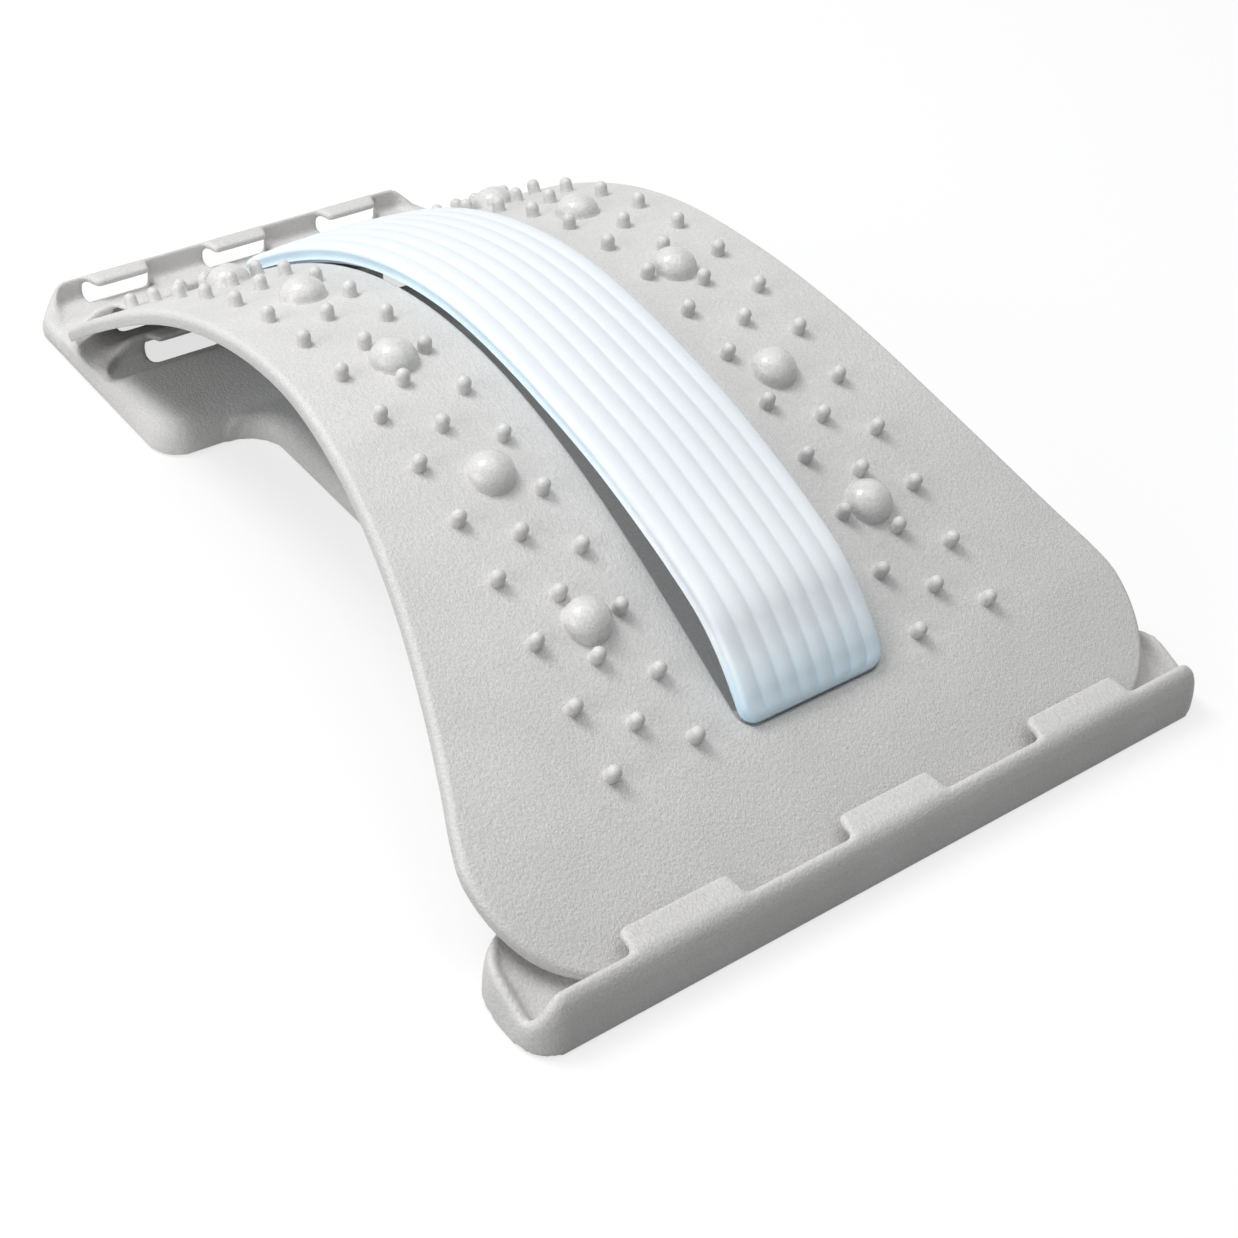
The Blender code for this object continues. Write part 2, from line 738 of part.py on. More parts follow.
def hooks():
    """All the hooks of both trays."""
    pieces = []
    for centre, half in zip(NEAR_HOOK_CENTRES, NEAR_HOOK_HALF_WIDTHS):
        root = NEAR_WALL_Y - NEAR_HOOK_ROOT
        tip = NEAR_WALL_Y + NEAR_HOOK_REACH
        narrow = half - HOOK_TIP_TAPER
        corners = (
            (centre - half, root, 0.0006), (centre + half, root, 0.0006),
            (centre + narrow, tip, HOOK_CORNER), (centre - narrow, tip, HOOK_CORNER),
        )
        pieces.append(hook(corners, NEAR_HOOK_UNDER, NEAR_HOOK_ROOT_TOP, NEAR_HOOK_TIP_TOP,
                           root, tip))
    for face_y, under, crest in zip(CATCH_YS, FAR_HOOK_UNDERS, FAR_HOOK_TOPS):
        for centre in FAR_HOOK_CENTRES:
            root = face_y + HOOK_ROOT
            tip = face_y - FAR_HOOK_REACH
            inner = FAR_HOOK_HALF_WIDTH - 0.0012
            outer = FAR_HOOK_HALF_WIDTH - (0.0012 if centre == 0 else 0.0026)
            left, right = (outer, inner) if centre < 0 else (inner, outer)
            corners = (
                (centre - left, tip, HOOK_CORNER), (centre + right, tip, HOOK_CORNER),
                (centre + FAR_HOOK_HALF_WIDTH, root, 0.0006),
                (centre - FAR_HOOK_HALF_WIDTH, root, 0.0006),
            )
            pieces.append(hook(corners, under, crest, crest, root, tip))
    return pieces


def web_cuts():
    """The bays under the web, with a rib between them."""
    half = WEB_HALF_WIDTH - WALL
    start = NEAR_BACK_Y + WALL
    bay = (FAR_INNER_Y - start) / WEB_BAYS
    return [
        box((-half, half), (start + bay * number + WALL / 2, start + bay * (number + 1) - WALL / 2),
            (-0.002, WEB_HEIGHT - WALL))
        for number in range(WEB_BAYS)
    ]


def far_bays():
    """The three bays under the far tray, as ranges along X, with a rib between them."""
    rib = WALL / 2
    middle = FAR_HALF_WIDTH * 0.31
    outer = FAR_HALF_WIDTH - WEDGE_END_LENGTH
    return ((-outer, -middle - rib), (-middle + rib, middle - rib), (middle + rib, outer))


def far_tray_cuts():
    """The hollow under the far tray, in three bays."""
    low = -0.002
    start_y = FAR_INNER_Y + WALL
    end_y = HALF_LENGTH - WALL - 0.0006
    line = far_floor_profile(WALL, end_y, PLATEAU_END_Y + 0.006)
    profile = [(end_y, low), line[0]]
    for row in (1, 2):
        face = CATCH_YS[row]
        foot = line[2 * row - 1][1]
        top = CREST_HEIGHTS[row] - WALL
        profile.append((face + WEDGE_RUN - WALL * 1.2, foot))
        profile.append((face + WALL + 0.0004, top - 0.0006))
        profile.append((face + WALL, top - 0.0006))
        profile.append((face + WALL, line[2 * row][1]))
    profile.append(line[-1])
    inner = PLATEAU_ROUND - WALL
    centre_y = FAR_INNER_Y + PLATEAU_ROUND
    centre_z = PLATEAU_HEIGHT - PLATEAU_ROUND
    profile.append((PLATEAU_END_Y - 0.002, PLATEAU_HEIGHT - WALL))
    for step in range(4):
        angle = math.pi / 2 * step / 3
        profile.append((centre_y - inner * math.sin(angle), centre_z + inner * math.cos(angle)))
    profile.append((start_y, low))
    return [bar(profile, x_range) for x_range in far_bays()]


def catch_cuts():
    """The openings below the far hooks, through the floor and the wall behind."""
    low = -0.002
    cuts = []
    for row, face_y in enumerate(CATCH_YS):
        deep = HALF_LENGTH + 0.001 if row == 0 else face_y + WALL + 0.0006
        sill = WALL_FOOT if row == 0 else low
        for centre in FAR_HOOK_CENTRES:
            sides = (centre - HOLE_HALF_WIDTH, centre + HOLE_HALF_WIDTH)
            cuts.append(box(sides, (face_y - HOLE_DEPTH, face_y - 0.0001),
                            (low, FLOORS[row] + 0.0002)))
            cuts.append(box(sides, (face_y - 0.0003, deep), (sill, FAR_HOOK_UNDERS[row] + 0.0001)))
    return cuts


def make_base(material):
    """The whole base, one moulding."""
    pieces = near_tray() + far_tray() + [web()] + hooks()
    for number, piece in enumerate(pieces):
        for vert in piece.verts:
            if vert.co.z < 1e-6:
                vert.co.z = -BURIED - BURIED_STEP * number
    ground = box((-GROUND_REACH, GROUND_REACH), (-GROUND_REACH, GROUND_REACH),
                 (-GROUND_DEPTH, 0.0))
    mesh = combine(pieces[0], pieces[1:], web_cuts() + far_tray_cuts() + catch_cuts() + [ground])
    return finish("base", mesh, material)


def plate_outline():
    """Half-width along the plate, with its rounded corners, as (x, along) points."""
    start = PLATE_EDGE[0][0]
    wide = PLATE_EDGE[0][1]
    end_width = PLATE_EDGE[-1][1]
    side = []
    steps = 7
    for step in range(steps + 1):
        angle = math.pi / 2 * step / steps
        side.append((wide - PLATE_NEAR_CORNER * (1 - math.sin(angle)),
                     start + (PLATE_NEAR - start) * math.cos(angle)))
    for fold in FOLDS:
        if start + 0.004 < fold < PLATE_FAR - PLATE_FAR_CORNER - 0.002:
            side.append((through_points(PLATE_EDGE, fold), fold))
    for step in range(steps + 1):
        angle = math.pi / 2 * step / steps
        side.append((end_width - PLATE_FAR_CORNER * (1 - math.cos(angle)),
                     PLATE_FAR - PLATE_FAR_CORNER * (1 - math.sin(angle))))
    return side + [(-x, along) for x, along in reversed(side)]


def slot_outline(half, reach, radius):
    """A rounded slot in the plate."""
    corners = ((-half, -reach, radius), (half, -reach, radius),
               (half, reach, radius), (-half, reach, radius))
    return rounded_outline(corners, 0.0, 5)


def flat_plate():
    """The plate before it is bent, with its slot, ledge and softened rim."""
    outline = [Vector(point) for point in plate_outline()]
    body = loft([lifted(outline, -PLATE_THICK), lifted(outline, 0.0)])
    rebate = slot_outline(SLOT_HALF_WIDTH, SLOT_REACH, SLOT_CORNER)
    through = slot_outline(SLOT_HALF_WIDTH, SLOT_REACH - LEDGE_REACH, SLOT_CORNER / 2)
    cuts = [
        loft([lifted(rebate, -LEDGE_DEPTH), lifted(rebate, 0.001)]),
        loft([lifted(through, -PLATE_THICK - 0.001), lifted(through, 0.001)]),
    ]
    plate = combine(body, removed=cuts)
    rims = []
    for edge in plate.edges:
        heights = {round(vert.co.z, 6) for vert in edge.verts}
        if heights in ({0.0}, {round(-PLATE_THICK, 6)}) and len(edge.link_faces) == 2:
            if edge.calc_face_angle() > math.radians(60):
                rims.append(edge)
    bmesh.ops.bevel(plate, geom=rims, offset=PLATE_EDGE_ROUND, segments=1, profile=0.5,
                    affect="EDGES", offset_type="OFFSET", material=-1)
    return plate


def bent_plate():
    """Fold the flat plate along the arch."""
    plate = flat_plate()
    for fold in FOLDS:
        if PLATE_NEAR + 0.002 < fold < PLATE_FAR - 0.002:
            geometry = list(plate.verts) + list(plate.edges) + list(plate.faces)
            bmesh.ops.bisect_plane(plate, geom=geometry, dist=1e-6,
                                   plane_co=(0.0, fold, 0.0), plane_no=(0.0, 1.0, 0.0))
    for vert in plate.verts:
        vert.co = on_plate(vert.co.x, vert.co.y, vert.co.z)
    return plate


def nub_places():
    """Where the small points stand, as (x, along)."""
    places = []
    middle = (ROWS - 1) / 2
    for row in range(ROWS):
        for column in (INNER_COLUMN, OUTER_COLUMN):
            places.append((column, (row - middle) * ROW_PITCH))
    for row in range(ROWS - 1):
        if row + 0.5 not in DOME_ROWS:
            places.append((MIDDLE_COLUMN, (row + 0.5 - middle) * ROW_PITCH))
    return [(side * x, along) for side in (-1, 1) for x, along in places]


def dome_places():
    """Where the large domes stand, as (x, along)."""
    middle = (ROWS - 1) / 2
    return [(side * DOME_COLUMN, (row - middle) * ROW_PITCH)
            for side in (-1, 1) for row in DOME_ROWS]


def standing(profile, sides, places):
    """Copies of one turned form, square on the plate at each place."""
    meshes = []
    for x, along in places:
        mesh = turned(profile, sides)
        bmesh.ops.transform(mesh, matrix=plate_frame(x, along), verts=mesh.verts)
        meshes.append(mesh)
    return joined(meshes)


def make_plate(material):
    """The arched plate with its points, domes and magnet pockets."""
    nubs = standing(NUB_PROFILE, NUB_SIDES, nub_places())
    domes = standing(DOME_PROFILE, DOME_SIDES, dome_places())
    pocket = MAGNET_RADIUS + GAP
    pockets = standing(((pocket, -PLATE_THICK - 0.001), (pocket, POCKET_ROOF)),
                       ROUND_SIDES, dome_places())
    mesh = combine(bent_plate(), [nubs, domes], [pockets])
    return finish("arch_plate", mesh, material)


def make_magnets(magnet_material, plug_material):
    """A magnet and its plug for every dome."""
    made = []
    for number, (x, along) in enumerate(dome_places(), start=1):
        frame = plate_frame(x, along)
        top = POCKET_ROOF - GAP
        low = top - MAGNET_HEIGHT
        magnet = turned(((MAGNET_RADIUS, low), (MAGNET_RADIUS, top)), ROUND_SIDES)
        plug_top = low - GAP
        plug = turned(((MAGNET_RADIUS - PLUG_CHAMFER, -PLATE_THICK),
                       (MAGNET_RADIUS, -PLATE_THICK + PLUG_CHAMFER),
                       (MAGNET_RADIUS, plug_top)), ROUND_SIDES)
        for mesh in (magnet, plug):
            bmesh.ops.transform(mesh, matrix=frame, verts=mesh.verts)
        origin = frame.translation
        made.append(finish(f"magnet_{number:02d}", magnet, magnet_material, origin))
        made.append(finish(f"magnet_plug_{number:02d}", plug, plug_material, origin))
    return made


def strip_stations():
    """Places along the spine strip, closer together round its ends."""
    reach = STRIP_LIFT[-1][0]
    inner = reach - PAD_END_SLOPE
    places = [inner * (2 * index / (PAD_STATIONS - 1) - 1) for index in range(PAD_STATIONS)]
    ends = [reach - PAD_END_SLOPE * (1 - math.sin(math.pi / 2 * step / 6)) for step in range(1, 7)]
    return [-place for place in reversed(ends)] + places + ends


def end_share(along, length):
    """How far in from the strip's end a place is, on a quarter circle of that length."""
    reach = STRIP_LIFT[-1][0]
    near = min(max((reach - abs(along)) / length, 0.0), 1.0)
    return math.sqrt(max(1 - (1 - near) ** 2, 0.0))


def pad_section(half, thick, ribs):
    """The pad's outline across: ribbed top with a crown, drawn-in sides, flat underside."""
    top = []
    steps = PAD_RIBS * 3
    inner = half - 0.0012
    for index in range(steps + 1):
        t = 2 * index / steps - 1
        wave = 0.0 if index % 3 == 0 else 1.0
        crown = PAD_CROWN * (1 - t * t)
        top.append((t * inner, thick + ribs * (crown + PAD_RIB_HEIGHT * (wave - 0.5))))
    right = [(half, thick * 0.72), (half - PAD_SIDE_DRAW, thick * 0.36), (half - 0.0008, 0.0)]
    left = [(-x, z) for x, z in reversed(right)]
    return top + right + left


def make_strip(pad_material, backing_material):
    """The soft pad and the backing under it, which lift off together."""
    pad_loops = []
    backing_loops = []
    rest = BACKING_THICK + GAP
    for along in strip_stations():
        lift = through_points(STRIP_LIFT, along)
        drawn_in = PAD_END_ROUND * (1 - end_share(along, PAD_END_ROUND))
        share = end_share(along, PAD_END_SLOPE)
        thick = PAD_END_THICK + (PAD_THICK - PAD_END_THICK) * share
        section = pad_section(PAD_HALF_WIDTH - drawn_in, thick, share)
        pad_loops.append([on_arch(x, along, lift + rest + z) for x, z in section])
        narrow = BACKING_HALF_WIDTH - drawn_in
        corners = ((-narrow, 0.0), (narrow, 0.0), (narrow, BACKING_THICK), (-narrow, BACKING_THICK))
        backing_loops.append([on_arch(x, along, lift + z) for x, z in corners])
    origin = on_arch(0.0, 0.0, 0.0)
    pad = finish("spine_pad", loft(pad_loops), pad_material, origin, 50.0)
    backing = finish("pad_backing", loft(backing_loops), backing_material, origin)
    return pad, backing


def main():
    """Build every piece."""
    clear_scene()
    shell = plastic("warm grey shell plastic", (0.60, 0.58, 0.55), 0.5)
    plate = plastic("warm grey plate plastic", (0.60, 0.58, 0.55), 0.45)
    foam = plastic("pale soft foam", (0.80, 0.82, 0.84), 0.8)
    stiff = plastic("pale backing plastic", (0.70, 0.71, 0.72), 0.5)
    ferrite = plastic("dark magnet ferrite", (0.06, 0.06, 0.065), 0.45, 0.3)
    plug = plastic("grey plug plastic", (0.55, 0.53, 0.50), 0.5)
    make_base(shell)
    make_plate(plate)
    make_strip(foam, stiff)
    make_magnets(ferrite, plug)


main()
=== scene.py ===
# %% [markdown]
# # A back stretcher
#
# The real object is an arched plastic plate with small massage points, ten large domes and a soft
# ribbed pad, hooked into a flat base. The frame that is loaded here is its plain working model.
# This scene dresses that model: softer edges, rounder points, a fuller pad and real finishes.

# %% Load the frame
import math

import bmesh
import bpy
from mathutils import Matrix, Vector


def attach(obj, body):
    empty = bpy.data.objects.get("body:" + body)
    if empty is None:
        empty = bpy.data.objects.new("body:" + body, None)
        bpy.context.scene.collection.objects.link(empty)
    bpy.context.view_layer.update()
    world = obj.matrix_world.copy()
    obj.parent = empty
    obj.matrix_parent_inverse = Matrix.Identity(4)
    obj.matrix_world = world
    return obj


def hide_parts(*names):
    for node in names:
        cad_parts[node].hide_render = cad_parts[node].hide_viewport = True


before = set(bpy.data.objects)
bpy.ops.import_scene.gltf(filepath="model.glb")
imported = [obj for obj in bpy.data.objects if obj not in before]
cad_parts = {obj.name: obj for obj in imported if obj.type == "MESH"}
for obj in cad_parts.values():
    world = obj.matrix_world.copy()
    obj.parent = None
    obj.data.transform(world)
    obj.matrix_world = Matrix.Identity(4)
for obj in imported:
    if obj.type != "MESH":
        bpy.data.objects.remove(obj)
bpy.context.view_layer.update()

# %% [markdown]
# Every piece that is modelled here becomes one mesh object at the origin, with its place in its
# mesh. One helper does that, so no piece is ever turned or scaled as an object. It also shades
# the piece smooth, and keeps as sharp only the edges that turn more than a given angle.

# %% A helper that keeps a finished piece
def keep_piece(name, shape, body="stretcher", smooth_angle=40.0):
    """Turn a bmesh into a shown piece that rides on a body."""
    mesh = bpy.data.meshes.new(name)
    shape.to_mesh(mesh)
    shape.free()
    for face in mesh.polygons:
        face.use_smooth = True
    mesh.set_sharp_from_angle(angle=math.radians(smooth_angle))
    piece = bpy.data.objects.new(name, mesh)
    bpy.context.scene.collection.objects.link(piece)
    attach(piece, body)
    print(name, "has", len(mesh.polygons), "faces")
    return piece

# %% [markdown]
# The photograph is taken from the wide end, a little to the left and about 40 degrees above the
# ground. The camera's place and turn come from fitting the massage points and the tray's corners.

# %% The camera
lens = bpy.data.cameras.new("photo camera")
lens.sensor_width = 36.0
lens.lens = 63.6
lens.clip_start = 0.01
camera = bpy.data.objects.new("photo camera", lens)
camera.matrix_world = Matrix((
    (0.79438, 0.33887, -0.50411, -0.3439),
    (-0.60231, 0.5469, -0.58148, -0.4517),
    (0.07865, 0.76555, 0.63855, 0.4329),
    (0.0, 0.0, 0.0, 1.0),
))
bpy.context.scene.collection.objects.link(camera)
bpy.context.scene.camera = camera
print("camera stands", round(camera.location.length, 3), "m from the middle of the ground")

# %% [markdown]
# The room is a pale floor under a soft sky. Both are plain white where they are looked at,
# straight or in a mirror or through glass, and give less light than that to the object, so that
# the object keeps its shades. Light Path tells the two kinds of ray apart, and one helper reads
# it for both.

# %% Colours as they are written, and a helper for the background
bpy.context.scene.view_settings.view_transform = "Standard"
print("view transform:", bpy.context.scene.view_settings.view_transform)


def larger_of(tree, first, second):
    """The output of a Math node that passes on the larger of two values."""
    node = tree.nodes.new("ShaderNodeMath")
    node.operation = "MAXIMUM"
    tree.links.new(first, node.inputs[0])
    tree.links.new(second, node.inputs[1])
    return node.outputs[0]


def looked_at(tree):
    """An output that is 1 for rays that show a background, and 0 for rays that carry its light."""
    ray = tree.nodes.new("ShaderNodeLightPath")
    mirrored = larger_of(tree, ray.outputs["Is Glossy Ray"], ray.outputs["Is Transmission Ray"])
    return larger_of(tree, ray.outputs["Is Camera Ray"], mirrored)

# %% [markdown]
# The floor is one large square a hair below the ground, so that the base's flat foot and the
# floor never lie in the same plane. It is part of the stage, not of the object.

# %% The floor's sheet, just below the object
FLOOR_HALF_SIZE = 6.0
FLOOR_DEPTH = 0.0004

floor_shape = bmesh.new()
bmesh.ops.create_grid(floor_shape, x_segments=1, y_segments=1, size=FLOOR_HALF_SIZE)
bmesh.ops.translate(floor_shape, verts=floor_shape.verts, vec=(0.0, 0.0, -FLOOR_DEPTH))
floor_mesh = bpy.data.meshes.new("floor")
floor_shape.to_mesh(floor_mesh)
floor_shape.free()
floor = bpy.data.objects.new("floor", floor_mesh)
bpy.context.scene.collection.objects.link(floor)
print("the floor is", 2 * FLOOR_HALF_SIZE, "m square")

# %% [markdown]
# Two things on the floor change with the distance from the object's middle. Near the object part
# of its white is real shading, which keeps the object's shadow, and far away all of it is plain
# white, so that no horizon shows. The light that it throws back is strong under the arch, where
# it opens the shade, and weak all round, so that the near wall stays the darkest side.

# %% The floor's paint
FLOOR_TONE_SHOWN = 0.95
THROWN_BACK_UNDER_THE_ARCH = 0.90
THROWN_BACK_ALL_ROUND = 0.23
ARCH_SHADE_RADIUS = (0.11, 0.17)
PLAIN_WHITE_NEAR = 0.72
PLAIN_WHITE_FAR = 1.0
PLAIN_WHITE_RADIUS = (0.35, 1.30)


def by_distance(tree, distance, radius, near, far):
    """An output that runs from one value to another between two distances."""
    node = tree.nodes.new("ShaderNodeMapRange")
    node.inputs["From Min"].default_value = radius[0]
    node.inputs["From Max"].default_value = radius[1]
    node.inputs["To Min"].default_value = near
    node.inputs["To Max"].default_value = far
    tree.links.new(distance, node.inputs["Value"])
    return node.outputs["Result"]


floor_paint = bpy.data.materials.new("pale floor")
floor_paint.use_nodes = True
floor_tree = floor_paint.node_tree
floor_shader = floor_tree.nodes["Principled BSDF"]
floor_shader.inputs["Roughness"].default_value = 0.9
floor_shader.inputs["Specular IOR Level"].default_value = 0.1
floor_place = floor_tree.nodes.new("ShaderNodeTexCoord")
floor_length = floor_tree.nodes.new("ShaderNodeVectorMath")
floor_length.operation = "LENGTH"
floor_tree.links.new(floor_place.outputs["Object"], floor_length.inputs[0])
floor_distance = floor_length.outputs["Value"]
floor_looked_at = looked_at(floor_tree)

floor_tone = floor_tree.nodes.new("ShaderNodeMix")
floor_tone.data_type = "RGBA"
floor_tree.links.new(by_distance(floor_tree, floor_distance, ARCH_SHADE_RADIUS,
                                 THROWN_BACK_UNDER_THE_ARCH, THROWN_BACK_ALL_ROUND),
                     floor_tone.inputs["A"])
floor_tone.inputs["B"].default_value = (FLOOR_TONE_SHOWN, FLOOR_TONE_SHOWN, FLOOR_TONE_SHOWN, 1.0)
floor_tree.links.new(floor_looked_at, floor_tone.inputs["Factor"])
floor_tree.links.new(floor_tone.outputs["Result"], floor_shader.inputs["Base Color"])

# %% The floor's plain white
floor_white = floor_tree.nodes.new("ShaderNodeEmission")
floor_white.inputs["Color"].default_value = (1.0, 1.0, 1.0, 1.0)
floor_white.inputs["Strength"].default_value = 1.0
floor_share = floor_tree.nodes.new("ShaderNodeMath")
floor_share.operation = "MULTIPLY"
floor_tree.links.new(floor_looked_at, floor_share.inputs[0])
floor_tree.links.new(by_distance(floor_tree, floor_distance, PLAIN_WHITE_RADIUS,
                                 PLAIN_WHITE_NEAR, PLAIN_WHITE_FAR), floor_share.inputs[1])
floor_mix = floor_tree.nodes.new("ShaderNodeMixShader")
floor_tree.links.new(floor_share.outputs[0], floor_mix.inputs["Fac"])
floor_tree.links.new(floor_shader.outputs[0], floor_mix.inputs[1])
floor_tree.links.new(floor_white.outputs[0], floor_mix.inputs[2])
floor_tree.links.new(floor_mix.outputs[0], floor_tree.nodes["Material Output"].inputs["Surface"])
floor_mesh.materials.append(floor_paint)
print("the floor's paint has", len(floor_tree.nodes), "nodes")

# %% The sky
SKY_LIGHT = 0.28

sky = bpy.data.worlds.new("soft sky")
sky.use_nodes = True
sky_tree = sky.node_tree
sky_light = sky_tree.nodes["Background"]
sky_light.inputs["Color"].default_value = (0.96, 0.98, 1.0, 1.0)
sky_light.inputs["Strength"].default_value = SKY_LIGHT
sky_white = sky_tree.nodes.new("ShaderNodeBackground")
sky_white.inputs["Color"].default_value = (1.0, 1.0, 1.0, 1.0)
sky_white.inputs["Strength"].default_value = 1.0
choose = sky_tree.nodes.new("ShaderNodeMixShader")
sky_tree.links.new(looked_at(sky_tree), choose.inputs["Fac"])
sky_tree.links.new(sky_light.outputs[0], choose.inputs[1])
sky_tree.links.new(sky_white.outputs[0], choose.inputs[2])
sky_tree.links.new(choose.outputs[0], sky_tree.nodes["World Output"].inputs["Surface"])
bpy.context.scene.world = sky
print("the sky gives", SKY_LIGHT, "of the light that it shows")

# %% [markdown]
# Three square lamps light the object. The small points throw short soft shadows towards the near
# right, so the key lamp stands high, behind and to the left. A low wide lamp at the left lights
# the rims and looks in under the arch, and a wide lamp above softens it all. None stands in
# front, so the near wall stays dark, as in the photograph.

# %% The lamps
def area_lamp(name, towards, distance, size, power):
    """A square soft lamp that looks at the middle of the object."""
    lamp = bpy.data.lights.new(name, "AREA")
    lamp.size = size
    lamp.energy = power
    holder = bpy.data.objects.new(name, lamp)
    aim = Vector(towards).normalized()
    holder.location = aim * distance
    holder.rotation_euler = aim.to_track_quat("Z", "Y").to_euler()
    bpy.context.scene.collection.objects.link(holder)


area_lamp("key lamp", towards=(-0.34, 0.42, 1.0), distance=1.7, size=0.65, power=17.5)
area_lamp("left lamp", towards=(-1.0, -0.02, 0.32), distance=1.9, size=1.2, power=15.0)
area_lamp("top lamp", towards=(0.10, -0.06, 1.0), distance=2.0, size=1.4, power=11.5)

# %% [markdown]
# The mouldings have a fine spark-eroded grain, like thin leather. Several finishes need it, so it
# is one node group, built once. A fine noise and softened cells, both a little longer along the
# object than across, add up to the grain's height. The same noise gives a faint speckle for the
# colour, and a slow noise gives the colour a drift over several centimetres.

# %% The grain that the mouldings share
GRAIN_STRETCH = 0.62
CELLS_TO_NOISE = 0.55
CELLS_SHARE = 0.5
SPECKLE_DARK = 0.91
SPECKLE_LIGHT = 1.05
DRIFT_SIZE = 38.0

grain = bpy.data.node_groups.new("moulded grain", "ShaderNodeTree")
grain.interface.new_socket("Size", in_out="INPUT", socket_type="NodeSocketFloat")
grain.interface.new_socket("Height", in_out="OUTPUT", socket_type="NodeSocketFloat")
grain.interface.new_socket("Mottle", in_out="OUTPUT", socket_type="NodeSocketFloat")
grain.interface.new_socket("Speckle", in_out="OUTPUT", socket_type="NodeSocketFloat")
grain_in = grain.nodes.new("NodeGroupInput")
grain_out = grain.nodes.new("NodeGroupOutput")
place = grain.nodes.new("ShaderNodeTexCoord")
stretch = grain.nodes.new("ShaderNodeMapping")
stretch.inputs["Scale"].default_value = (1.0, GRAIN_STRETCH, 1.0)
grain.links.new(place.outputs["Object"], stretch.inputs["Vector"])
fine = grain.nodes.new("ShaderNodeTexNoise")
fine.inputs["Detail"].default_value = 3.0
grain.links.new(stretch.outputs[0], fine.inputs["Vector"])
grain.links.new(grain_in.outputs["Size"], fine.inputs["Scale"])
cells = grain.nodes.new("ShaderNodeTexVoronoi")
cells.feature = "SMOOTH_F1"
cell_size = grain.nodes.new("ShaderNodeMath")
cell_size.operation = "MULTIPLY"
cell_size.inputs[1].default_value = CELLS_TO_NOISE
grain.links.new(grain_in.outputs["Size"], cell_size.inputs[0])
grain.links.new(stretch.outputs[0], cells.inputs["Vector"])
grain.links.new(cell_size.outputs[0], cells.inputs["Scale"])
both = grain.nodes.new("ShaderNodeMath")
both.operation = "MULTIPLY_ADD"
both.inputs[1].default_value = CELLS_SHARE
grain.links.new(cells.outputs["Distance"], both.inputs[0])
grain.links.new(fine.outputs["Fac"], both.inputs[2])
grain.links.new(both.outputs[0], grain_out.inputs["Height"])

# %% The grain's speckle and slow drift
speck = grain.nodes.new("ShaderNodeMapRange")
speck.inputs["From Min"].default_value = 0.36
speck.inputs["From Max"].default_value = 0.64
speck.inputs["To Min"].default_value = SPECKLE_DARK
speck.inputs["To Max"].default_value = SPECKLE_LIGHT
grain.links.new(fine.outputs["Fac"], speck.inputs["Value"])
grain.links.new(speck.outputs["Result"], grain_out.inputs["Speckle"])
slow = grain.nodes.new("ShaderNodeTexNoise")
slow.inputs["Scale"].default_value = DRIFT_SIZE
slow.inputs["Detail"].default_value = 5.0
grain.links.new(place.outputs["Object"], slow.inputs["Vector"])
grain.links.new(slow.outputs["Fac"], grain_out.inputs["Mottle"])
print("the grain group has", len(grain.nodes), "nodes")

# %% [markdown]
# The base and the plate are the same warm light grey. The plate's grain is finer and its colour a
# shade lighter, and on the small points it is worn almost smooth. The domes have a thin gloss
# over their grain, which catches the key lamp. A finish maker sets the two tones, the grain's
# size and depth in metres, and the roughness.

# %% A maker of moulded finishes
LOW_GRAIN = 0.4
HIGH_GRAIN = 1.1


def moulded(name, low, high, size, depth, roughness):
    """A grained finish that drifts slowly between two tones."""
    finish = bpy.data.materials.new(name)
    finish.use_nodes = True
    nodes = finish.node_tree.nodes
    links = finish.node_tree.links
    shader = nodes["Principled BSDF"]
    shader.inputs["IOR"].default_value = 1.46
    texture = nodes.new("ShaderNodeGroup")
    texture.node_tree = grain
    texture.inputs["Size"].default_value = size
    tone = nodes.new("ShaderNodeValToRGB")
    tone.color_ramp.elements[0].position = 0.32
    tone.color_ramp.elements[0].color = (*low, 1.0)
    tone.color_ramp.elements[1].position = 0.68
    tone.color_ramp.elements[1].color = (*high, 1.0)
    links.new(texture.outputs["Mottle"], tone.inputs["Fac"])
    speckled = nodes.new("ShaderNodeMix")
    speckled.data_type = "RGBA"
    speckled.blend_type = "MULTIPLY"
    speckled.inputs["Factor"].default_value = 1.0
    links.new(tone.outputs["Color"], speckled.inputs["A"])
    links.new(texture.outputs["Speckle"], speckled.inputs["B"])
    links.new(speckled.outputs["Result"], shader.inputs["Base Color"])
    rough = nodes.new("ShaderNodeMapRange")
    rough.inputs["From Min"].default_value = LOW_GRAIN
    rough.inputs["From Max"].default_value = HIGH_GRAIN
    rough.inputs["To Min"].default_value = roughness - 0.05
    rough.inputs["To Max"].default_value = roughness + 0.07
    links.new(texture.outputs["Height"], rough.inputs["Value"])
    links.new(rough.outputs["Result"], shader.inputs["Roughness"])
    bump = nodes.new("ShaderNodeBump")
    bump.inputs["Strength"].default_value = 1.0
    bump.inputs["Distance"].default_value = depth
    links.new(texture.outputs["Height"], bump.inputs["Height"])
    links.new(bump.outputs["Normal"], shader.inputs["Normal"])
    return finish


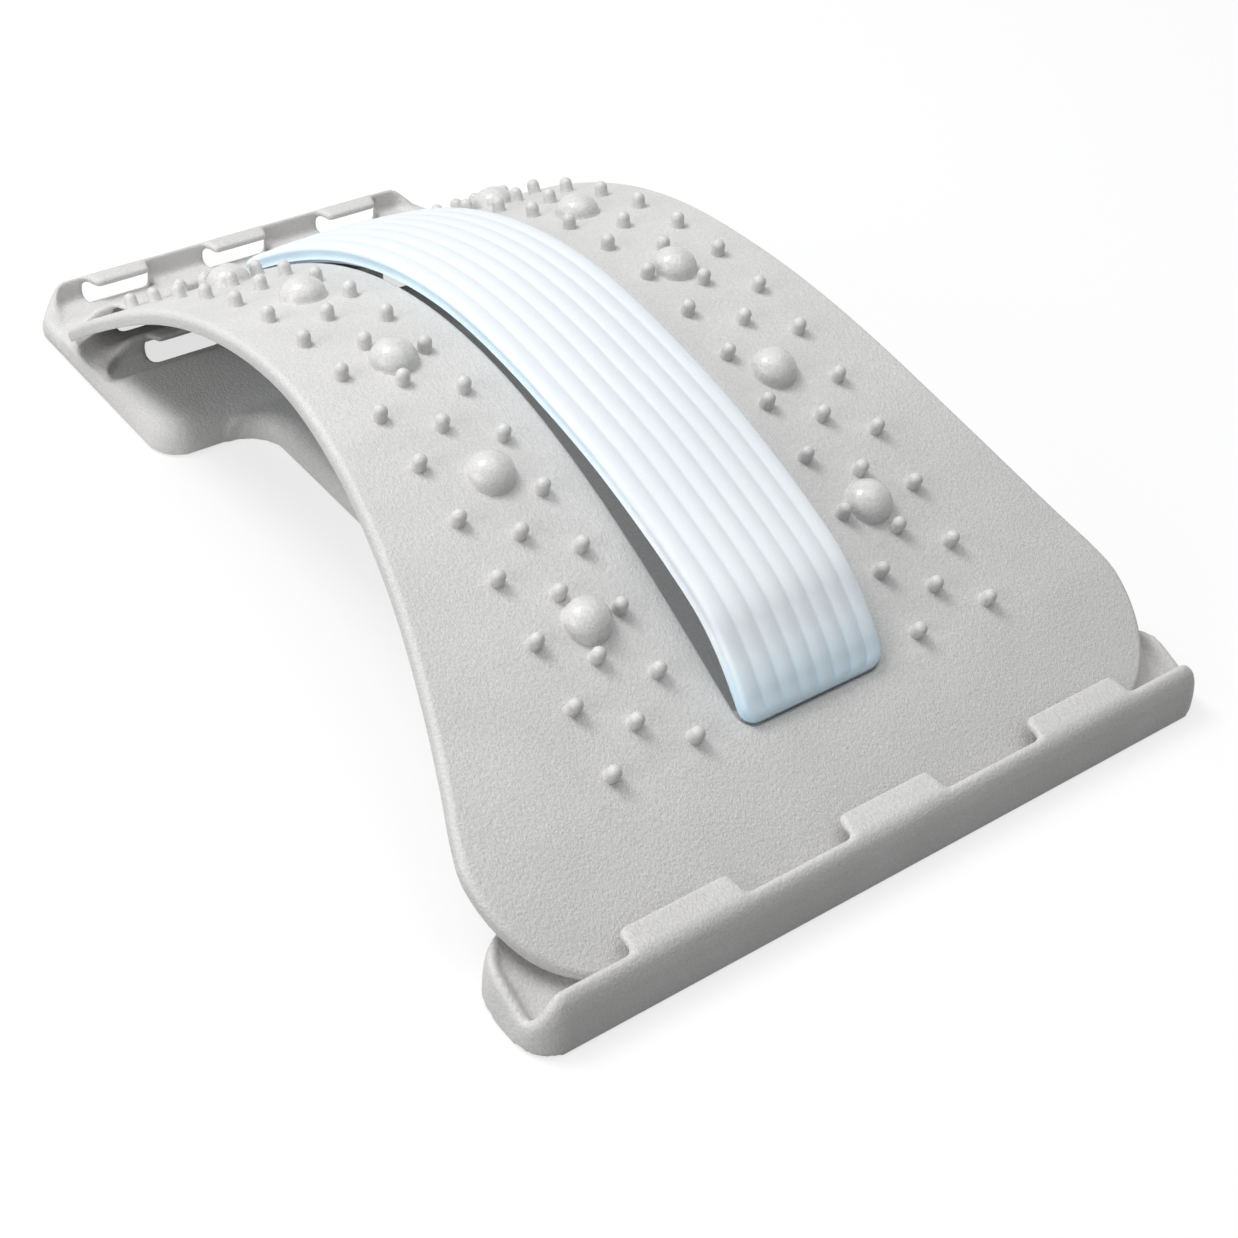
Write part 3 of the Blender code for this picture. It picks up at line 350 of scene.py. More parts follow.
# %% The moulded finishes
shell_finish = moulded("grained shell plastic", (0.580, 0.572, 0.562), (0.625, 0.618, 0.608),
                       size=1750.0, depth=0.00021, roughness=0.52)
plate_finish = moulded("grained plate plastic", (0.600, 0.594, 0.585), (0.640, 0.634, 0.625),
                       size=1850.0, depth=0.00022, roughness=0.50)
point_finish = moulded("small point plastic", (0.610, 0.604, 0.595), (0.640, 0.634, 0.625),
                       size=1550.0, depth=0.00003, roughness=0.44)
dome_finish = moulded("smooth dome plastic", (0.610, 0.604, 0.595), (0.650, 0.644, 0.635),
                      size=1550.0, depth=0.00018, roughness=0.44)
dome_shader = dome_finish.node_tree.nodes["Principled BSDF"]
dome_shader.inputs["Coat Weight"].default_value = 0.45
dome_shader.inputs["Coat Roughness"].default_value = 0.06
plug_finish = moulded("plug plastic", (0.520, 0.505, 0.485), (0.570, 0.555, 0.535),
                      size=1700.0, depth=0.00005, roughness=0.50)
sheet_finish = moulded("backing sheet plastic", (0.58, 0.70, 0.80), (0.63, 0.75, 0.85),
                       size=1200.0, depth=0.00003, roughness=0.42)
for finish in (shell_finish, plate_finish, point_finish, dome_finish, plug_finish, sheet_finish):
    print("made the finish", finish.name)

# %% [markdown]
# The magnets hide inside the domes. They are sintered ferrite: dark, slightly metallic and
# gritty.

# %% The magnet finish
ferrite_finish = moulded("sintered ferrite", (0.045, 0.045, 0.050), (0.075, 0.075, 0.080),
                         size=2600.0, depth=0.00006, roughness=0.46)
ferrite_shader = ferrite_finish.node_tree.nodes["Principled BSDF"]
ferrite_shader.inputs["Metallic"].default_value = 0.35
print("the magnets' finish is", ferrite_finish.name)

# %% [markdown]
# The pad is a soft foam, close to white on its long slope and cooler blue down its sides and at
# its ends. These changes of colour are painted light and shade: whiter where the lamps fall
# fully, greyer on the crown to hold back the strong light there, and bluer as painted shade down
# the sides, in the grooves and at the near end. How much is painted at each place is kept on the
# mesh as an attribute, because it follows the pad's own form, and a colour ramp turns that into
# the foam's colour. A little subsurface scattering lets light soak in, as foam does.

# %% The pad finish
# Painted shade: where the crown sits on the ramp, painted greyer to hold back the strong light on
# it.
CROWN_PAINTED_SHADE = 0.14

pad_finish = bpy.data.materials.new("ribbed soft foam")
pad_finish.use_nodes = True
pad_nodes = pad_finish.node_tree.nodes
pad_links = pad_finish.node_tree.links
pad_shader = pad_nodes["Principled BSDF"]
pad_shader.inputs["Roughness"].default_value = 0.55
pad_shader.inputs["Sheen Weight"].default_value = 0.06
pad_shader.inputs["Subsurface Weight"].default_value = 0.25
pad_shader.inputs["Subsurface Radius"].default_value = (0.003, 0.004, 0.005)
pad_shader.inputs["Subsurface Scale"].default_value = 0.5
painted_shade = pad_nodes.new("ShaderNodeAttribute")
painted_shade.attribute_name = "painted_shade"
pad_texture = pad_nodes.new("ShaderNodeGroup")
pad_texture.node_tree = grain
pad_texture.inputs["Size"].default_value = 2400.0
# The ramp of painted light and shade: near white where lit, grey on the crown, blue where shaded.
pad_tone = pad_nodes.new("ShaderNodeValToRGB")
pad_tone.color_ramp.elements[0].color = (0.83, 0.87, 0.90, 1.0)
pad_tone.color_ramp.elements[1].color = (0.63, 0.835, 0.99, 1.0)
slope_tone = pad_tone.color_ramp.elements.new(0.36)
slope_tone.color = (0.84, 0.915, 0.985, 1.0)
crown_shade_stop = pad_tone.color_ramp.elements.new(CROWN_PAINTED_SHADE)
crown_shade_stop.color = (0.735, 0.775, 0.805, 1.0)
pad_links.new(painted_shade.outputs["Fac"], pad_tone.inputs["Fac"])
pad_links.new(pad_tone.outputs["Color"], pad_shader.inputs["Base Color"])
pad_bump = pad_nodes.new("ShaderNodeBump")
pad_bump.inputs["Distance"].default_value = 0.00003
pad_links.new(pad_texture.outputs["Height"], pad_bump.inputs["Height"])
pad_links.new(pad_bump.outputs["Normal"], pad_shader.inputs["Normal"])
print("finishes:", len(bpy.data.materials))

# %% [markdown]
# Everything on the plate follows one arch. Its slope changes smoothly from the near end, over the
# crown, to the far end. Walking that slope in small steps gives the arch line, and every flat
# shape is then bent onto it. The line is set so that the plate's near end stands in the near tray
# and its far end in the middle row of catches. These are the working model's own lengths, in
# metres.

# %% The lengths that set the arch
ROW_PITCH = 0.02071
ROWS = 15
HALF_SPAN = ROW_PITCH * (ROWS - 1) / 2
ARCH_SWING = math.radians(31.17)
ARCH_LEAN = math.radians(0.15)
ARCH_SKEW = math.radians(2.76)
ARCH_END_CURL = 2.5
ARCH_Y = -0.0043
ARCH_SEAT_HEIGHT = 0.00585
ARCH_STEP = 0.0005
ARCH_REACH = 0.204
ARCH_RISE = 0.0027
PLATE_THICK = 0.0030
TOUCH_GAP = 0.0003
BASE_HALF_LENGTH = 0.186
NEAR_WALL_INSIDE = 0.0067
FAR_WALL_INSIDE = 0.0017
CATCH_ROW_PITCH = 0.0238
print("rows of points span", round(2 * HALF_SPAN, 3), "m along the arch")

# %% The arch line
def arch_slope(along):
    """Downward slope towards the far end, at a distance along the arch."""
    u = min(max(along / HALF_SPAN, -1.0), 1.0)
    past = max(abs(along) - HALF_SPAN, 0.0)
    return (ARCH_LEAN + ARCH_SWING * math.sin(math.pi * u / 2)
            - ARCH_SKEW * math.cos(math.pi * u) + math.copysign(ARCH_END_CURL * past, along))


def walk_arch(middle_height):
    """(y, z) at every step along the arch, from its middle row both ways."""
    places = {0: (ARCH_Y, middle_height)}
    for way in (1, -1):
        y, z = places[0]
        for index in range(int(ARCH_REACH / ARCH_STEP)):
            slope = arch_slope(way * (index + 0.5) * ARCH_STEP)
            y += way * ARCH_STEP * math.cos(slope)
            z -= way * ARCH_STEP * math.sin(slope)
            places[way * (index + 1)] = (y, z)
    return places


ARCH = walk_arch(0.0)

# %% Places on the arch
def on_arch(x, along, rise):
    """The point at x across the plate, along the arch, and rise above the plate's top face."""
    step = math.floor(along / ARCH_STEP)
    part = along / ARCH_STEP - step
    (y0, z0), (y1, z1) = ARCH[step], ARCH[step + 1]
    slope = arch_slope(along)
    off = rise - ARCH_RISE
    return Vector((x, y0 + (y1 - y0) * part + off * math.sin(slope),
                   z0 + (z1 - z0) * part + off * math.cos(slope)))


def along_at(y, low, high):
    """How far along the arch the plate's top face reaches y."""
    for _ in range(50):
        middle = (low + high) / 2
        if on_arch(0.0, middle, 0.0).y < y:
            low = middle
        else:
            high = middle
    return low


NEAR_WALL_Y = -BASE_HALF_LENGTH + NEAR_WALL_INSIDE
CATCH_Y = BASE_HALF_LENGTH - FAR_WALL_INSIDE - CATCH_ROW_PITCH
PLATE_NEAR = along_at(NEAR_WALL_Y + TOUCH_GAP, -ARCH_REACH + ARCH_STEP, 0.0)
PLATE_FAR = along_at(CATCH_Y - TOUCH_GAP, 0.0, ARCH_REACH - ARCH_STEP)
ARCH = walk_arch(ARCH_SEAT_HEIGHT - on_arch(0.0, PLATE_NEAR, -PLATE_THICK).z)
print("the plate runs from", round(PLATE_NEAR, 4), "to", round(PLATE_FAR, 4), "m along the arch")

# %% [markdown]
# The plate is made flat, where cutting and bevelling are easy, then sliced across and bent.
# Slices 1.5 mm apart are fine enough for the arch to look smooth.

# %% A helper that bends a flat shape
SLICE = 0.0015


def bend_onto_arch(shape):
    """Slice a flat shape across and lay it on the arch."""
    ends = [vert.co.y for vert in shape.verts]
    start, stop = min(ends), max(ends)
    for number in range(1, int((stop - start) / SLICE)):
        everything = list(shape.verts) + list(shape.edges) + list(shape.faces)
        bmesh.ops.bisect_plane(shape, geom=everything, dist=1e-7,
                               plane_co=(0.0, start + number * SLICE, 0.0),
                               plane_no=(0.0, 1.0, 0.0))
    for vert in shape.verts:
        vert.co = on_arch(vert.co.x, vert.co.y, vert.co.z)

# %% [markdown]
# The plate is wide and rounded at the near end and narrows to straight sides. Its outline is
# drawn as one loop of points: a long smooth curve through a few half-widths, and a quarter
# ellipse at each corner. Only the right half is worked out, and the left half mirrors it.

# %% The plate's outline
PLATE_EDGE = (
    (-0.154, 0.1200), (-0.144, 0.1179), (-0.130, 0.1130), (-0.110, 0.1066), (-0.080, 0.0984),
    (-0.050, 0.0922), (-0.020, 0.0875), (0.010, 0.0846), (0.060, 0.0844),
)
NEAR_CORNER = 0.031
FAR_CORNER = 0.017


def smooth_through(points, at):
    """A smooth curve through (position, value) pairs, level at both ends."""
    if at <= points[0][0]:
        return points[0][1]
    if at >= points[-1][0]:
        return points[-1][1]
    last = len(points) - 1
    slopes = [0.0] * (last + 1)
    for index in range(1, last):
        (x0, y0), (x1, y1) = points[index - 1], points[index + 1]
        slopes[index] = (y1 - y0) / (x1 - x0)
    index = max(number for number in range(last) if points[number][0] <= at)
    (x0, y0), (x1, y1) = points[index], points[index + 1]
    run = x1 - x0
    t = (at - x0) / run
    return ((2 * t ** 3 - 3 * t ** 2 + 1) * y0 + (t ** 3 - 2 * t ** 2 + t) * run * slopes[index]
            + (3 * t ** 2 - 2 * t ** 3) * y1 + (t ** 3 - t ** 2) * run * slopes[index + 1])


# %% The outline's loop of points
NEAR_CORNER_STEPS = 16
FAR_CORNER_STEPS = 12
SIDE_STEP = 0.004


def half_outline():
    """The right-hand edge of the plate from the near end to the far end."""
    start, wide = PLATE_EDGE[0]
    narrow = PLATE_EDGE[-1][1]
    points = []
    for step in range(NEAR_CORNER_STEPS + 1):
        turn = math.pi / 2 * step / NEAR_CORNER_STEPS
        points.append((wide - NEAR_CORNER * (1 - math.sin(turn)),
                       start + (PLATE_NEAR - start) * math.cos(turn)))
    place = start + SIDE_STEP
    while place < PLATE_FAR - FAR_CORNER - 0.003:
        points.append((smooth_through(PLATE_EDGE, place), place))
        place += SIDE_STEP
    for step in range(FAR_CORNER_STEPS + 1):
        turn = math.pi / 2 * step / FAR_CORNER_STEPS
        points.append((narrow - FAR_CORNER * (1 - math.cos(turn)),
                       PLATE_FAR - FAR_CORNER * (1 - math.sin(turn))))
    return points


right_edge = half_outline()
plate_outline = right_edge + [(-x, y) for x, y in reversed(right_edge)]
print("plate outline:", len(plate_outline), "points, widest", round(2 * PLATE_EDGE[0][1], 3), "m")

# %% [markdown]
# A flat plate is the outline filled and pushed down by its thickness. The slot for the pad and a
# round hole under each dome are cut with boolean modifiers while the plate is flat, because a cut
# through a flat face is clean. A shallow ledge is left at each end of the slot for the pad to
# rest on.

# %% Helpers for flat slabs and cuts
def slab(outline, low, high):
    """A closed flat block with that outline."""
    shape = bmesh.new()
    loop = [shape.verts.new((x, y, low)) for x, y in outline]
    face = shape.faces.new(loop)
    grown = bmesh.ops.extrude_face_region(shape, geom=[face])
    lifted = [item for item in grown["geom"] if isinstance(item, bmesh.types.BMVert)]
    bmesh.ops.translate(shape, verts=lifted, vec=(0.0, 0.0, high - low))
    bmesh.ops.recalc_face_normals(shape, faces=shape.faces)
    return shape


def rounded_box(half_x, half_y, radius, steps=8):
    """A rounded rectangle as a list of (x, y)."""
    points = []
    for number, (side_x, side_y) in enumerate(((1, 1), (-1, 1), (-1, -1), (1, -1))):
        for step in range(steps + 1):
            turn = math.pi / 2 * (number + step / steps)
            points.append((side_x * (half_x - radius) + radius * math.cos(turn),
                           side_y * (half_y - radius) + radius * math.sin(turn)))
    return points


def cut(shape, tools):
    """Take closed shapes away from a shape."""
    def as_object(part, label):
        mesh = bpy.data.meshes.new(label)
        part.to_mesh(mesh)
        part.free()
        item = bpy.data.objects.new(label, mesh)
        bpy.context.scene.collection.objects.link(item)
        return item

    target = as_object(shape, "uncut")
    knives = [as_object(tool, "knife") for tool in tools]
    for knife in knives:
        step = target.modifiers.new("cut", "BOOLEAN")
        step.operation = "DIFFERENCE"
        step.solver = "EXACT"
        step.object = knife
    done = bmesh.new()
    done.from_object(target, bpy.context.evaluated_depsgraph_get())
    for item in knives + [target]:
        mesh = item.data
        bpy.data.objects.remove(item, do_unlink=True)
        bpy.data.meshes.remove(mesh)
    bmesh.ops.remove_doubles(done, verts=done.verts, dist=1e-6)
    return done

# %% [markdown]
# The points stand in three columns on each side of the slot, in rows of one pitch. The domes
# stand between them, and where a dome stands the middle column leaves its point out.

# %% The rows of points and domes
INNER_COLUMN = 0.0412
MIDDLE_COLUMN = 0.0553
OUTER_COLUMN = 0.0694
DOME_COLUMN = 0.0518
DOME_ROWS = (2.0, 4.5, 7.0, 9.5, 12.0)
MIDDLE_ROW = (ROWS - 1) / 2

dome_places = [(side * DOME_COLUMN, (row - MIDDLE_ROW) * ROW_PITCH)
               for side in (-1, 1) for row in DOME_ROWS]
point_places = []
for side in (-1, 1):
    for row in range(ROWS):
        for column in (INNER_COLUMN, OUTER_COLUMN):
            point_places.append((side * column, (row - MIDDLE_ROW) * ROW_PITCH))
    for row in range(ROWS - 1):
        if row + 0.5 not in DOME_ROWS:
            point_places.append((side * MIDDLE_COLUMN, (row + 0.5 - MIDDLE_ROW) * ROW_PITCH))
print(len(point_places), "small points and", len(dome_places), "domes")

# %% [markdown]
# The rim of the real plate looks thicker than the plate, because its edge turns down. The bottom
# face is inset by the lip's width, and its outer edge is then pushed down, so that a sloping ring
# makes the lip. The lip fades out at both ends, where the plate sits in the trays.

# %% The flat plate with its lip
SLOT_HALF_WIDTH = 0.0259
SLOT_HALF_LENGTH = 0.1494
SLOT_CORNER = 0.0055
LEDGE_REACH = 0.0060
LEDGE_DEPTH = 0.0018
POCKET_RADIUS = 0.0048
LIP_DEEP = 0.0019
LIP_WIDE = 0.0034
LIP_FADE = 0.009
NEAR_SEAT = 0.003
FAR_SEAT = 0.005


def lip_depth(along):
    """How far the lip hangs below the plate: full along the free sides, nothing at the seats."""
    near = min(max((along - PLATE_NEAR - NEAR_SEAT) / LIP_FADE, 0.0), 1.0)
    far = min(max((PLATE_FAR - FAR_SEAT - along) / LIP_FADE, 0.0), 1.0)
    return LIP_DEEP * min(near, far)


plate_shape = slab(plate_outline, -PLATE_THICK, 0.0)
bottom = min(plate_shape.faces, key=lambda face: face.calc_center_median().z)
bmesh.ops.inset_region(plate_shape, faces=[bottom], thickness=LIP_WIDE, use_even_offset=True)
lip_verts = {vert for edge in plate_shape.edges if edge.calc_face_angle() > math.radians(60)
             for vert in edge.verts if vert.co.z < -PLATE_THICK / 2}
for vert in lip_verts:
    vert.co.z -= lip_depth(vert.co.y)
print("the lip moves", len(lip_verts), "points")

# %% The slot and the pockets, cut
knives = [slab(rounded_box(SLOT_HALF_WIDTH, SLOT_HALF_LENGTH, SLOT_CORNER), -LEDGE_DEPTH, 0.001),
          slab(rounded_box(SLOT_HALF_WIDTH, SLOT_HALF_LENGTH - LEDGE_REACH, SLOT_CORNER / 2),
               -PLATE_THICK - 0.001, 0.001)]
for x, along in dome_places:
    drill = bmesh.new()
    bmesh.ops.create_cone(drill, cap_ends=True, segments=28, radius1=POCKET_RADIUS,
                          radius2=POCKET_RADIUS, depth=0.010,
                          matrix=Matrix.Translation((x, along, -0.001)))
    knives.append(drill)
plate_shape = cut(plate_shape, knives)
print("the cut plate has", len(plate_shape.faces), "faces")

# %% [markdown]
# Moulded edges are never sharp. The slot's rim gets a small round, the plate's top edge a broad
# shoulder that runs down to the lip, and the bottom edges a fine one. Each is a bevel of several
# segments. The rims are found by height and by how much the surface turns there. Only then is the
# plate bent.

# %% Helpers that find and round the rims
SHOULDER = 0.0022
SLOT_ROUND = 0.0013
BOTTOM_ROUND = 0.0006
RIM_TURN = math.radians(50)
RIM_CLIMB = 0.001


def rim_edges(low, high):
    """Edges of the plate between two heights, nearly level, where its surface turns sharply."""
    return [edge for edge in plate_shape.edges
            if all(low - 1e-6 < vert.co.z < high + 1e-6 for vert in edge.verts)
            and len(edge.link_faces) == 2
            and edge.calc_face_angle() > RIM_TURN
            and abs(edge.verts[0].co.z - edge.verts[1].co.z) < RIM_CLIMB]


def near_a_pocket(edge):
    """True for the rims of the round holes, which stay crisp round their plugs."""
    middle = (edge.verts[0].co + edge.verts[1].co) / 2
    return any(math.hypot(middle.x - x, middle.y - along) < POCKET_RADIUS * 1.2
               for x, along in dome_places)


def in_the_slot(edge):
    """True for the rim of the long slot."""
    middle = (edge.verts[0].co + edge.verts[1].co) / 2
    return abs(middle.x) < SLOT_HALF_WIDTH + 1e-4 and abs(middle.y) < SLOT_HALF_LENGTH + 1e-4


def round_edges(edges, size, segments):
    """Bevel those edges of the plate with a round profile."""
    bmesh.ops.bevel(plate_shape, geom=edges, offset=size, offset_type="OFFSET", segments=segments,
                    profile=0.5, affect="EDGES", material=-1, clamp_overlap=True)


# %% Rounded rims, then the bend
slot_rim = [edge for edge in rim_edges(0.0, 0.0) if in_the_slot(edge)]
round_edges(slot_rim, SLOT_ROUND, 5)
top_rim = [edge for edge in rim_edges(0.0, 0.0)
           if not in_the_slot(edge) and not near_a_pocket(edge)]
round_edges(top_rim, SHOULDER, 8)
bottom_rims = [edge for edge in rim_edges(-PLATE_THICK - LIP_DEEP, -PLATE_THICK)
               if not near_a_pocket(edge)]
round_edges(bottom_rims, BOTTOM_ROUND, 3)
bend_onto_arch(plate_shape)
plate_skin = keep_piece("plate_skin", plate_shape, smooth_angle=50.0)
plate_skin.data.materials.append(plate_finish)
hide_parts("arch_plate")

# %% [markdown]
# The massage points are small bullets, a little over 4 mm across and 5 mm tall, with a round
# head. Each is a profile spun round an upright axis. One is spun, kept as a stamp, and copied
# square onto the arch at every place. Its foot reaches into the plate, so that no gap shows on
# the bent face.

# %% A helper that spins a profile
def spun(profile, sides):
    """A closed solid from a (radius, height) profile that starts and ends on the axis."""
    shape = bmesh.new()
    verts = [shape.verts.new((radius, 0.0, height)) for radius, height in profile]
    edges = [shape.edges.new(pair) for pair in zip(verts, verts[1:])]
    bmesh.ops.spin(shape, geom=verts + edges, cent=(0.0, 0.0, 0.0), axis=(0.0, 0.0, 1.0),
                   angle=math.tau, steps=sides, use_merge=True)
    bmesh.ops.remove_doubles(shape, verts=shape.verts, dist=1e-6)
    bmesh.ops.recalc_face_normals(shape, faces=shape.faces)
    return shape


def stand_on_plate(whole, stamp, x, along):
    """Add a copy of a small shape to another, square on the arch."""
    turn = Matrix.Rotation(-arch_slope(along), 4, "X")
    before = len(whole.verts)
    whole.from_mesh(stamp)
    whole.verts.ensure_lookup_table()
    fresh = whole.verts[before:]
    bmesh.ops.transform(whole, matrix=Matrix.Translation(on_arch(x, along, 0.0)) @ turn,
                        verts=fresh)

# %% The small points
POINT_FOOT = 0.0022
POINT_HEIGHT = 0.0049
POINT_HEAD = 0.00213
POINT_HEAD_STEPS = 8
POINT_SIDES = 18

point_profile = [(0.0, -0.0009), (POINT_FOOT + 0.0002, -0.0003), (POINT_FOOT + 0.0001, 0.0002),
                 (POINT_FOOT, 0.0006), (POINT_HEAD + 0.00003, 0.0016)]
for step in range(POINT_HEAD_STEPS):
    turn = math.pi / 2 * step / POINT_HEAD_STEPS
    point_profile.append((POINT_HEAD * math.cos(turn),
                          POINT_HEIGHT - POINT_HEAD + POINT_HEAD * math.sin(turn)))
point_profile.append((0.0, POINT_HEIGHT))
point_stamp = bpy.data.meshes.new("point stamp")
one_point = spun(point_profile, POINT_SIDES)
one_point.to_mesh(point_stamp)
one_point.free()
points_shape = bmesh.new()
for x, along in point_places:
    stand_on_plate(points_shape, point_stamp, x, along)
massage_points = keep_piece("massage_points", points_shape, smooth_angle=60.0)
massage_points.data.materials.append(point_finish)

# %% [markdown]
# Each large dome is a thick cap with a round pocket below, where its magnet and plug sit. One
# profile makes both sides: out under the pocket's roof, down its wall, out to the dome's foot and
# up over its skin, which is a quarter ellipse drawn in a little.

# %% The domes
DOME_FOOT = 0.0072
DOME_HEIGHT = 0.0065
POCKET_ROOF = 0.0040
DOME_ROOT = 0.0007
DOME_SKIN_STEPS = 12
DOME_SIDES = 40

dome_profile = [(0.0, POCKET_ROOF), (POCKET_RADIUS, POCKET_ROOF), (POCKET_RADIUS, -0.0010),
                (DOME_FOOT + 0.0004, -0.0010), (DOME_FOOT + 0.0003, 0.0),
                (DOME_FOOT + 0.0001, 0.0002), (DOME_FOOT, DOME_ROOT)]
for step in range(1, DOME_SKIN_STEPS):
    turn = math.pi / 2 * step / DOME_SKIN_STEPS
    dome_profile.append((DOME_FOOT * math.cos(turn) ** 1.08,
                         DOME_ROOT + (DOME_HEIGHT - DOME_ROOT) * math.sin(turn)))
dome_profile.append((0.0, DOME_HEIGHT))
dome_stamp = bpy.data.meshes.new("dome stamp")
one_dome = spun(dome_profile, DOME_SIDES)
one_dome.to_mesh(dome_stamp)
one_dome.free()
domes_shape = bmesh.new()
for x, along in dome_places:
    stand_on_plate(domes_shape, dome_stamp, x, along)
magnet_domes = keep_piece("magnet_domes", domes_shape, smooth_angle=50.0)
magnet_domes.data.materials.append(dome_finish)

# %% [markdown]
# The soft pad is a long foam strip with eight rounded ribs. It starts as a flat grid with extra
# cuts near its ends, where it rounds off fast, and is pushed down into a block one unit high.
# Each point is then moved: ribs and crown on top, drawn-in sides, rounded corners and thin ends.
# A cloth simulation would add nothing here, because foam keeps its moulded form.

# %% The pad, flat
PAD_HALF_WIDTH = 0.0255
PAD_HALF_LENGTH = 0.1490
PAD_THICK = 0.0046
PAD_CROWN = 0.0012
PAD_RIBS = 8
RIB_HEIGHT = 0.00046
END_ROUND = 0.0050
END_SLOPE = 0.0090
END_THICK = 0.0014
SIDE_DRAW = 0.0007
TOP_ROUND = 0.0012
GRID_ACROSS_A_RIB = 12
GRID_ALONG = 150
END_CUTS = (0.0002, 0.0006, 0.0012, 0.0026, 0.0036, 0.0050, 0.0066)

pad_shape = bmesh.new()
bmesh.ops.create_grid(pad_shape, x_segments=PAD_RIBS * GRID_ACROSS_A_RIB, y_segments=GRID_ALONG,
                      size=1.0)
bmesh.ops.scale(pad_shape, vec=(PAD_HALF_WIDTH, PAD_HALF_LENGTH, 1.0), verts=pad_shape.verts)
for side in (-1, 1):
    for inset in END_CUTS:
        everything = list(pad_shape.verts) + list(pad_shape.edges) + list(pad_shape.faces)
        bmesh.ops.bisect_plane(pad_shape, geom=everything, dist=1e-7,
                               plane_co=(0.0, side * (PAD_HALF_LENGTH - inset), 0.0),
                               plane_no=(0.0, 1.0, 0.0))
pushed = bmesh.ops.extrude_face_region(pad_shape, geom=list(pad_shape.faces))
lowered = [item for item in pushed["geom"] if isinstance(item, bmesh.types.BMVert)]
bmesh.ops.translate(pad_shape, verts=lowered, vec=(0.0, 0.0, -1.0))
uprights = [edge for edge in pad_shape.edges
            if abs(edge.verts[0].co.z - edge.verts[1].co.z) > 0.5]
bmesh.ops.subdivide_edges(pad_shape, edges=uprights, cuts=5, use_grid_fill=True)
bmesh.ops.recalc_face_normals(pad_shape, faces=pad_shape.faces)
print("the flat pad has", len(pad_shape.faces), "faces")

# %% The pad's ribs and colour
def rib_height(x):
    """Height of the ribbed top at x: broad round ribs with soft grooves between them."""
    share = (x / PAD_HALF_WIDTH + 1.0) / 2.0 * PAD_RIBS
    across = abs(2.0 * (share - math.floor(share)) - 1.0)
    return RIB_HEIGHT * (1.0 - across ** 1.9)


def ramp(value, start, run):
    """0 before the start, 1 after the run, and even in between."""
    return max(0.0, min((value - start) / run, 1.0))


def painted_shade_at(x, along, side_shade):
    """How much painted light and shade falls there: grey crown, painted shade at the near end, in
    the grooves and down the sides, and painted light on the lower left side.
    """
    near_end_shade = ramp(-along, 0.118, 0.029)
    near_slope = ramp(-along, 0.05, 0.07)
    # Painted light: the lower left side is painted whiter where the left lamp falls on it.
    left_lamp_light = ramp(-along, 0.02, 0.08) if x < 0.0 else 0.0
    # Painted shade in the grooves between the ribs.
    groove_shade = 1.0 - rib_height(x) / RIB_HEIGHT
    return min(1.0, CROWN_PAINTED_SHADE * (1.0 - near_slope) + (0.04 + 0.10 * near_end_shade) * groove_shade
               + 0.70 * near_end_shade ** 1.2 + side_shade * (1.0 - 0.70 * left_lamp_light))

# %% The pad's form
# Each point of the pad keeps how much painted light and shade it gets.
painted_shade_layer = pad_shape.verts.layers.float.new("painted_shade")
for vert in pad_shape.verts:
    x, along, level = vert.co.x, vert.co.y, vert.co.z + 1.0
    from_end = max(PAD_HALF_LENGTH - abs(along), 0.0)
    from_side = max(PAD_HALF_WIDTH - abs(x), 0.0)
    at_end, at_side = from_end < 1e-6, from_side < 1e-6
    into_corner = max(END_ROUND - from_end, 0.0) / END_ROUND
    half = PAD_HALF_WIDTH - END_ROUND * (1.0 - math.sqrt(max(1.0 - into_corner ** 2, 0.0)))
    ends = max(0.0, 1.0 - from_end / END_SLOPE)
    sides = max(0.0, 1.0 - from_side / TOP_ROUND)
    share = math.sqrt(1.0 - ends ** 2)
    fall = 1.0 - math.sqrt(1.0 - sides ** 2)
    thick = END_THICK + (PAD_THICK - END_THICK) * share
    crown = PAD_CROWN * (1.0 - (x / PAD_HALF_WIDTH) ** 2) * share
    ribs = (rib_height(x) * (1.0 - sides * 0.7) - RIB_HEIGHT * 0.5) * share
    top = thick + crown + ribs - fall * min(TOP_ROUND, thick * 0.6)
    draw = SIDE_DRAW * (4.0 * level * (1.0 - level)) if at_side or at_end else 0.0
    # Painted shade down the pad's sides, strongest on the side faces below the top edge.
    side_shade = (0.62 if level < 0.99 else 0.40) if at_side else 0.22 * sides
    vert[painted_shade_layer] = painted_shade_at(x, along, side_shade)
    vert.co = Vector((x * half / PAD_HALF_WIDTH * (1.0 - draw / PAD_HALF_WIDTH),
                      along * (1.0 - (draw / PAD_HALF_LENGTH if at_end else 0.0)),
                      level * top))
deepest_painted_shade = max(vert[painted_shade_layer] for vert in pad_shape.verts)
print("the coolest point of the pad is at", round(deepest_painted_shade, 2), "on its colour ramp")

# %% [markdown]
# The pad touches the plate only at its ends. Near its near end it stands well off the plate,
# which is what lets one see into the slot there. That lift, in metres along the arch, belongs to
# the working model's strip too, so the pad lies on its backing all the way.

